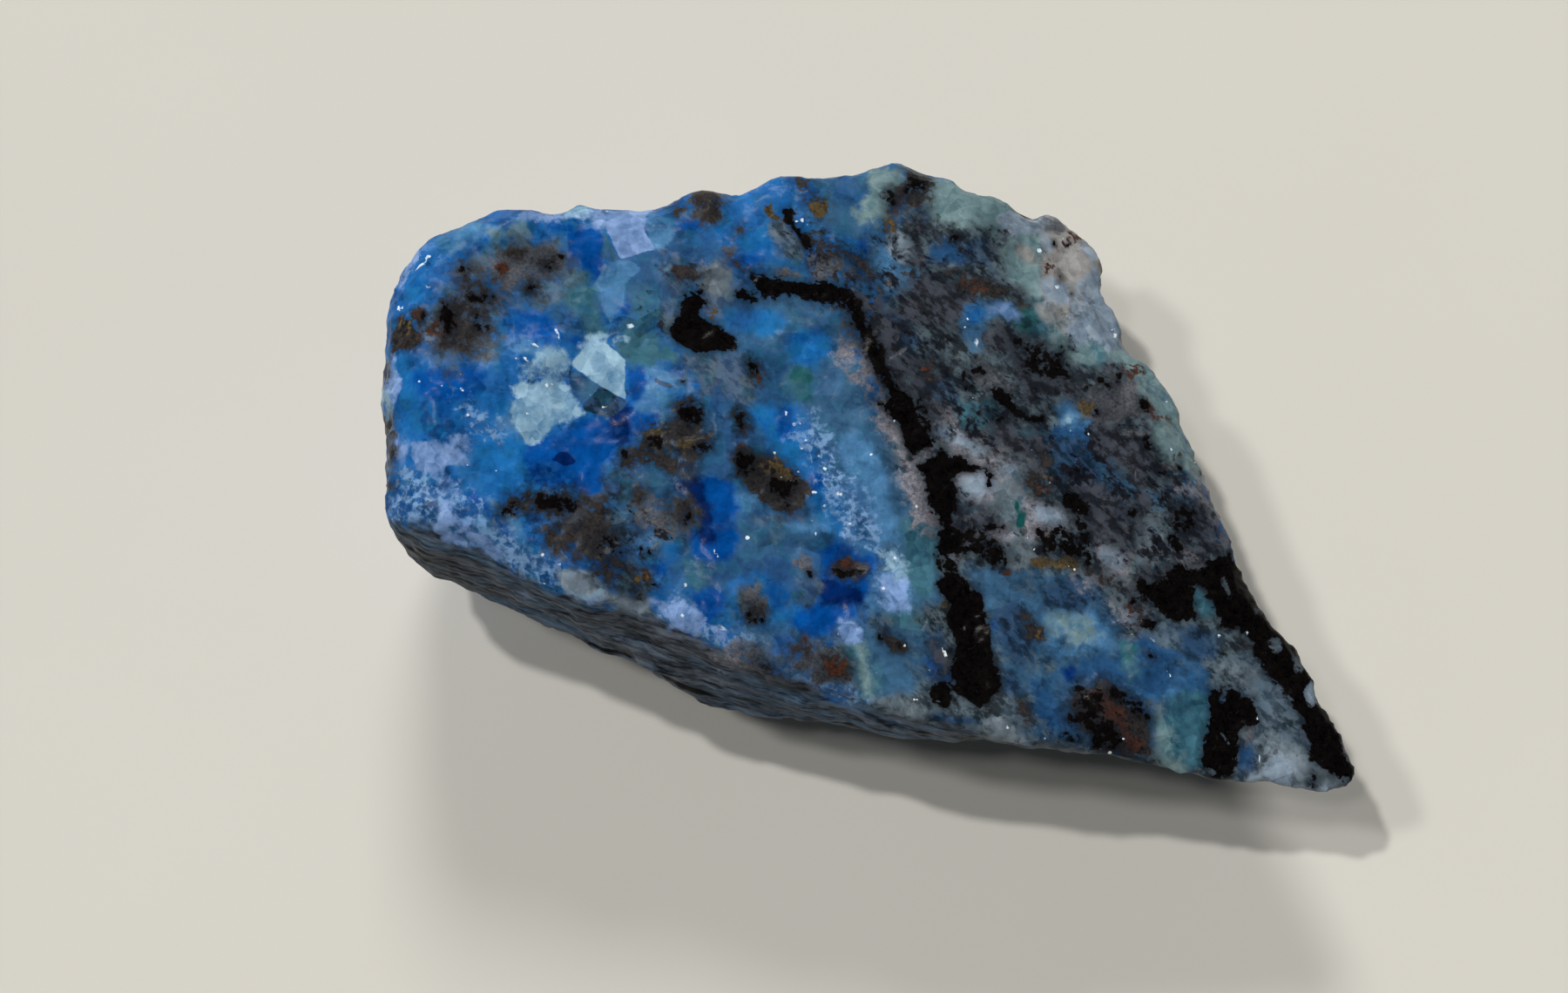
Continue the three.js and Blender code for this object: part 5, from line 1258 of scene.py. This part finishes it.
def dress(mesh, points, normals):
    """Writes how deep each vertex lies in every mineral, as one attribute per mineral."""
    crisp_px = marked_px(points, normals)
    loose_px = crisp_px.copy()
    for axis in range(2):
        loose_px[:, axis] += EDGE_RIPPLE[0] * rough(points, EDGE_RIPPLE[1], 2, 71 + axis)
    for mineral in MINERALS:
        depth = np.full(len(points), NOTHING)
        for shape in mineral.shapes:
            depth = np.maximum(depth, shape.depth(crisp_px if shape.soft < CRISP else loose_px))
        for gap in mineral.gaps:
            depth = np.minimum(depth, -gap.depth(crisp_px))
        attribute = mesh.attributes.new(mineral.name, "FLOAT", "POINT")
        attribute.data.foreach_set("value", depth.astype(np.float32))


def make_stone(node):
    """The stone's dressed surface, inside the CAD solid's box."""
    mesh = remeshed(node)
    set_points(mesh, smoothed(mesh_points(mesh), mesh_edges(mesh), SMOOTHING_ROUNDS))
    refine_seen_side(mesh)
    set_points(mesh, smoothed(mesh_points(mesh), mesh_edges(mesh), FINISHING_ROUNDS))
    points = mesh_points(mesh)
    normals = mesh_normals(mesh)
    low, high = (np.array(corner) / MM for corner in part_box(node.name))
    free = ease_step(SOLE_FLAT, SOLE_FREE, points[:, 2])
    moved = points + (free * relief(points, normals))[:, None] * normals
    moved[:, 0] += LEFT_TRIM * ease_step(LEFT_TRIM_START, LEFT_TRIM_END, moved[:, 0])
    set_points(mesh, np.clip(moved, low, high))
    dress(mesh, points, normals)
    for polygon in mesh.polygons:
        polygon.use_smooth = True
    mesh.name = "azurite_stone_surface"
    stone = bpy.data.objects.new("azurite_stone_surface", mesh)
    bpy.context.scene.collection.objects.link(stone)
    return stone


# ---- Materials --------------------------------------------------------------------------------


def linear(tone):
    """A tone as the linear colour that shows like it on a level surface."""
    parts = [part / 255 for part in tone]
    parts = [p / 12.92 if p <= 0.04045 else ((p + 0.055) / 1.055) ** 2.4 for p in parts]
    return tuple(min(p / LEVEL_GAIN, 1) for p in parts) + (1.0,)


class Nodes:
    """A material's node tree, with short ways to add the nodes used here."""

    def __init__(self, name):
        self.material = bpy.data.materials.new(name)
        self.material.use_nodes = True
        self.tree = self.material.node_tree
        self.shader = self.tree.nodes["Principled BSDF"]
        self.place = self.add("ShaderNodeTexCoord").outputs["Object"]

    def add(self, kind, **settings):
        """A new node with its settings."""
        node = self.tree.nodes.new(kind)
        for key, value in settings.items():
            setattr(node, key, value)
        return node

    def feed(self, socket, value):
        """Sets an input to a number or colour, or links it to another node's output."""
        if isinstance(value, bpy.types.NodeSocket):
            self.tree.links.new(value, socket)
        else:
            socket.default_value = value

    def maths(self, operation, *values):
        """One operation on numbers."""
        node = self.add("ShaderNodeMath", operation=operation)
        for socket, value in zip(node.inputs, values):
            self.feed(socket, value)
        return node.outputs[0]

    def vector_maths(self, operation, first, second, output="Vector"):
        """One operation on two vectors."""
        node = self.add("ShaderNodeVectorMath", operation=operation)
        self.feed(node.inputs[0], first)
        self.feed(node.inputs[1], second)
        return node.outputs[output]

    def noise(self, size_mm, detail, roughness=0.5, seed=0.0, place=None):
        """Cloudy noise from 0 to 1, with lumps of the given size."""
        node = self.add("ShaderNodeTexNoise", noise_dimensions="4D")
        self.feed(node.inputs["Vector"], place or self.place)
        self.feed(node.inputs["W"], seed)
        self.feed(node.inputs["Scale"], 1 / (size_mm * MM))
        self.feed(node.inputs["Detail"], detail)
        self.feed(node.inputs["Roughness"], roughness)
        return node.outputs["Fac"]

    def cell_values(self, size_mm):
        """Angular grains: two numbers even within each grain, and a third that slopes across it."""
        node = self.add("ShaderNodeTexVoronoi")
        self.feed(node.inputs["Vector"], self.place)
        self.feed(node.inputs["Scale"], 1 / (size_mm * MM))
        parts = self.add("ShaderNodeSeparateColor")
        self.feed(parts.inputs[0], node.outputs["Color"])
        # The third number is a random tone for each grain with painted facet shading on it, light to dark
        # across the grain.
        off = self.vector_maths("SUBTRACT", self.place, node.outputs["Position"])
        lean = self.vector_maths("SUBTRACT", node.outputs["Color"], (0.5, 0.5, 0.5))
        slope = self.vector_maths("DOT_PRODUCT", off, lean, "Value")
        shade = self.maths("MULTIPLY_ADD", slope, GRAIN_SLOPE / (size_mm * MM), parts.outputs[2])
        return parts.outputs[0], parts.outputs[1], self.ramp(shade, -0.1, 1.1)

    def ramp(self, value, low, high, out_low=0.0, out_high=1.0):
        """A smooth step from out_low, where value is low or less, to out_high."""
        node = self.add("ShaderNodeMapRange", interpolation_type="SMOOTHSTEP")
        for socket, given in zip(node.inputs, (value, low, high, out_low, out_high)):
            self.feed(socket, given)
        return node.outputs["Result"]

    def mix(self, share, first, second):
        """Two colours mixed, share of the second."""
        node = self.add("ShaderNodeMix", data_type="RGBA")
        self.feed(node.inputs[0], share)
        self.feed(node.inputs[6], first)
        self.feed(node.inputs[7], second)
        return node.outputs[2]

    def blend(self, share, first, second):
        """Two numbers mixed, share of the second."""
        node = self.add("ShaderNodeMix", data_type="FLOAT")
        self.feed(node.inputs[0], share)
        self.feed(node.inputs[2], first)
        self.feed(node.inputs[3], second)
        return node.outputs[0]

    def mesh_value(self, name):
        """A number that the mesh holds at each vertex."""
        return self.add("ShaderNodeAttribute", attribute_name=name).outputs["Fac"]


def stretched(n, turn, stretch):
    """Texture places drawn out along one direction in the floor's plane."""
    turned = n.add("ShaderNodeMapping", vector_type="TEXTURE")
    n.feed(turned.inputs["Vector"], n.place)
    turned.inputs["Rotation"].default_value = (0, 0, turn)
    turned.inputs["Scale"].default_value = (stretch, 1, 1)
    return turned.outputs[0]


class StonePatterns:
    """The textures that the stone's minerals share. A grain is 0 where its mineral is dark."""

    def __init__(self, n):
        # Each noise has its size in millimetres, its detail, its roughness and its seed.
        cloud = n.noise(2.6, 5.0, 0.54)
        fine = n.noise(0.6, 3.0, 0.6, 3.0)
        dust = n.noise(0.22, 2.0, 0.6, 7.0)
        small, large, broad = (n.cell_values(size_mm) for size_mm in GRAIN_SIZES)
        # Painted facet shading of the grains; the cloudy, crystalline and sugary patterns take it in.
        facet_shading = n.blend(0.4, n.blend(0.5, small[2], large[2]), broad[2])
        sugar = n.blend(0.4, n.blend(0.5, small[1], large[2]), n.ramp(fine, 0.35, 0.65))
        grit = n.blend(0.5, n.ramp(fine, 0.3, 0.7), small[1])
        stain_place = stretched(n, STAIN_TURN, STAIN_STRETCH)
        blotches = n.ramp(n.noise(0.8, 4.0, 0.62, 31.0, stain_place), 0.43, 0.57)
        stains = n.ramp(n.noise(1.5, 5.0, 0.68, 23.0, stain_place), 0.50, 0.58)
        dash_place = stretched(n, DASH_TURN, DASH_STRETCH)
        dashes = n.ramp(n.noise(0.55, 3.0, 0.6, 29.0, dash_place), 0.6, 0.66)
        cloudy = n.blend(0.5, n.ramp(cloud, 0.32, 0.68), facet_shading)
        self.grain = {
            "cloudy": cloudy,
            "blotched": n.blend(0.65, cloudy, blotches),
            "crystalline": n.blend(0.3, n.blend(0.55, large[2], broad[2]), n.ramp(fine, 0.3, 0.7)),
            "sugary": n.ramp(sugar, 0.2, 0.8),
            "mottled": n.blend(0.35, grit, n.ramp(dust, 0.35, 0.65)),
        }
        self.wander = n.ramp(cloud, 0.3, 0.7, -1.0, 1.0)
        self.specks = n.ramp(grit, 0.0, 1.0, -1.0, 1.0)
        self.stained = n.maths("MAXIMUM", stains, dashes)
        self.lilac = n.ramp(broad[0], 0.6, 0.75, 0.0, LILAC_SHARE)
        self.teal = n.ramp(large[0], 0.7, 0.8, 0.0, TEAL_SHARE)
        self.height = n.maths("MULTIPLY", small[1], BUMP_SHARES[1])
        self.height = n.maths("MULTIPLY_ADD", fine, BUMP_SHARES[0], self.height)


def layer_tones(n, greys):
    """The foliated wall's colour: thin grey, blue and dark layers along the rim."""
    place = stretched(n, RIM_TURN, LAYER_STRETCH)
    thick = n.ramp(n.noise(0.8, 3.0, 0.6, 11.0, place), 0.4, 0.62)
    thin = n.ramp(n.noise(0.3, 3.0, 0.6, 13.0, place), 0.38, 0.64)
    hue = n.ramp(n.noise(2.4, 2.0, 0.5, 17.0, place), 0.42, 0.6)
    dark = n.ramp(n.noise(1.3, 2.0, 0.5, 19.0, place), 0.60, 0.68)
    shade = n.blend(0.5, thick, thin)
    grey, blue = (n.mix(shade, linear(low), linear(high)) for low, high in (greys, LAYER_BLUES))
    return n.mix(dark, n.mix(hue, grey, blue), linear(LAYER_DARK))


def mineral_tones(n, patterns, mineral):
    """A mineral's colour all over the stone."""
    if mineral.grain == "layered":
        return layer_tones(n, mineral.tones)
    return n.mix(patterns.grain[mineral.grain], linear(mineral.tones[0]), linear(mineral.tones[1]))


def tinted(n, patterns, colour, untinted):
    """The colour with its lilac and teal grains, which keep off where untinted is 1."""
    clear = n.maths("SUBTRACT", 1.0, untinted)
    for pattern, tint in ((patterns.lilac, LILAC_TINT), (patterns.teal, TEAL_TINT)):
        colour = n.mix(n.maths("MULTIPLY", clear, pattern), colour, linear(tint))
    return colour


def stone_material():
    """Cloudy azurite and quartz with every drawn mineral mixed over it."""
    n = Nodes("azurite_in_quartz")
    patterns = StonePatterns(n)
    low, middle, high = (linear(tone) for tone in AZURITE_TONES)
    colour = n.mix(n.ramp(patterns.grain["cloudy"], 0.05, 0.5), low, middle)
    colour = n.mix(n.ramp(patterns.grain["cloudy"], 0.5, 1.0), colour, high)
    roughness = AZURITE_ROUGHNESS
    untinted = 0.0
    for mineral in MINERALS:
        edge = n.maths("MULTIPLY_ADD", patterns.wander, mineral.wander, n.mesh_value(mineral.name))
        edge = n.maths("MULTIPLY_ADD", patterns.specks, mineral.specks, edge)
        share = n.ramp(edge, -mineral.fade, mineral.fade)
        if mineral.name in UNTINTED:
            untinted = n.maths("MAXIMUM", untinted, share)
        if mineral.name in STAINS:
            share = n.maths("MULTIPLY", share, patterns.stained)
        if mineral.name == TINTED_UP_TO:
            colour = tinted(n, patterns, colour, untinted)
        if mineral.name in HALOED:
            colour = n.mix(n.ramp(edge, *HALO_REACH, 0.0, HALO_STRENGTH), colour, linear(HALO_TONE))
        colour = n.mix(share, colour, mineral_tones(n, patterns, mineral))
        roughness = n.blend(share, roughness, mineral.roughness)
    n.feed(n.shader.inputs["Base Color"], colour)
    n.feed(n.shader.inputs["Roughness"], roughness)
    n.feed(n.shader.inputs["Specular IOR Level"], STONE_SPECULAR)
    bump = n.add("ShaderNodeBump")
    n.feed(bump.inputs["Strength"], BUMP_STRENGTH)
    n.feed(bump.inputs["Distance"], BUMP_HEIGHT * MM)
    n.feed(bump.inputs["Height"], patterns.height)
    n.feed(n.shader.inputs["Normal"], bump.outputs[0])
    return n.material


def floor_material():
    """Matt warm white paper."""
    n = Nodes("pale_floor")
    n.feed(n.shader.inputs["Base Color"], n.mix(n.noise(FLOOR_CLOUDS, 3.0), *FLOOR_COLOURS))
    n.feed(n.shader.inputs["Roughness"], FLOOR_ROUGHNESS)
    n.feed(n.shader.inputs["Specular IOR Level"], FLOOR_SPECULAR)
    return n.material


# ---- Floor, camera and light ------------------------------------------------------------------

# Metres, but for the size of the floor's clouds, which is in millimetres.
FLOOR_HALF = 1.5
FLOOR_COLOURS = ((0.635, 0.615, 0.57, 1), (0.655, 0.64, 0.595, 1))
FLOOR_CLOUDS = 35.0
FLOOR_ROUGHNESS = 0.85
FLOOR_SPECULAR = 0.2
CAMERA_NEAR = 0.01
CAMERA_FAR = 10

# Each lamp's name, the direction it stands in, its strength, its spread in degrees and its colour.
WARM_WHITE = (1.0, 0.985, 0.95)
SOFT_WHITE = (1.0, 0.99, 0.97)
LAMPS = (
    ("key", (-0.36, 0.116, 1.0), 1.27, 3, WARM_WHITE),
    ("left", (-0.59, -0.048, 1.0), 0.69, 6, WARM_WHITE),
    ("back", (-0.06, 1.118, 1.0), 1.52, 17, WARM_WHITE),
    ("front", (-0.251, -0.225, 1.0), 0.32, 5, SOFT_WHITE),
)

# The room's brightness by the height of the direction, 0 at the horizon and 1 overhead.
ROOM_FADE_START = 0.45
ROOM_FADE_END = 0.85
ROOM_LOW = 0.10
ROOM_TOP = 0.03
ROOM_LEFT = 1.5  # its gain on the left and on the right
ROOM_RIGHT = 0.5
ROOM_COLOUR = (0.93, 0.97, 1.0, 1.0)


def make_floor():
    """The plain pale floor that the stone lies on."""
    half = FLOOR_HALF
    mesh = bpy.data.meshes.new("floor")
    corners = [(-half, -half, 0), (half, -half, 0), (half, half, 0), (-half, half, 0)]
    mesh.from_pydata(corners, [], [(0, 1, 2, 3)])
    floor = bpy.data.objects.new("floor", mesh)
    bpy.context.scene.collection.objects.link(floor)
    floor.data.materials.append(floor_material())


def make_camera():
    """The camera of the view above."""
    data = bpy.data.cameras.new("camera")
    data.sensor_width = SENSOR_MM
    data.lens = SENSOR_MM * FOCAL_PX / FRAME_WIDTH_PX
    data.clip_start = CAMERA_NEAR
    data.clip_end = CAMERA_FAR
    camera = bpy.data.objects.new("camera", data)
    camera.location = Vector(EYE * MM)
    camera.rotation_euler = Vector(FORWARD).to_track_quat("-Z", "Y").to_euler()
    bpy.context.scene.collection.objects.link(camera)
    bpy.context.scene.camera = camera


def make_lamp(name, direction, strength, spread_degrees, colour):
    """A soft light that comes from a direction."""
    data = bpy.data.lights.new(name, "SUN")
    data.energy = strength
    data.angle = math.radians(spread_degrees)
    data.color = colour
    light = bpy.data.objects.new(name, data)
    light.rotation_euler = Vector(direction).to_track_quat("Z", "Y").to_euler()
    bpy.context.scene.collection.objects.link(light)


def map_range(nodes, from_low, from_high, to_low, to_high):
    """A node that carries one range of numbers over to another."""
    node = nodes.new("ShaderNodeMapRange")
    node.inputs["From Min"].default_value = from_low
    node.inputs["From Max"].default_value = from_high
    node.inputs["To Min"].default_value = to_low
    node.inputs["To Max"].default_value = to_high
    return node


def make_room():
    """Light from all round: brighter low down than overhead, and brighter on the left."""
    world = bpy.data.worlds.new("room")
    world.use_nodes = True
    nodes, links = world.node_tree.nodes, world.node_tree.links
    place = nodes.new("ShaderNodeTexCoord")
    direction = nodes.new("ShaderNodeSeparateXYZ")
    fade = map_range(nodes, ROOM_FADE_START, ROOM_FADE_END, ROOM_LOW, ROOM_TOP)
    fade.interpolation_type = "SMOOTHSTEP"
    side = map_range(nodes, -1.0, 1.0, ROOM_LEFT, ROOM_RIGHT)
    gain = nodes.new("ShaderNodeMath")
    gain.operation = "MULTIPLY"
    background = nodes["Background"]
    background.inputs["Color"].default_value = ROOM_COLOUR
    links.new(place.outputs["Generated"], direction.inputs[0])
    links.new(direction.outputs["Z"], fade.inputs["Value"])
    links.new(direction.outputs["X"], side.inputs["Value"])
    links.new(fade.outputs["Result"], gain.inputs[0])
    links.new(side.outputs["Result"], gain.inputs[1])
    links.new(gain.outputs[0], background.inputs["Strength"])
    bpy.context.scene.world = world


def make_light():
    """Four soft lamps above, to the left and behind, and the room."""
    for lamp in LAMPS:
        make_lamp(*lamp)
    make_room()
    bpy.context.scene.view_settings.view_transform = "Standard"


make_camera()
make_light()
make_floor()
stone = make_stone(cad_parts["azurite_stone"])
stone.data.materials.append(stone_material())
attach(stone, "root")
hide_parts("azurite_stone")
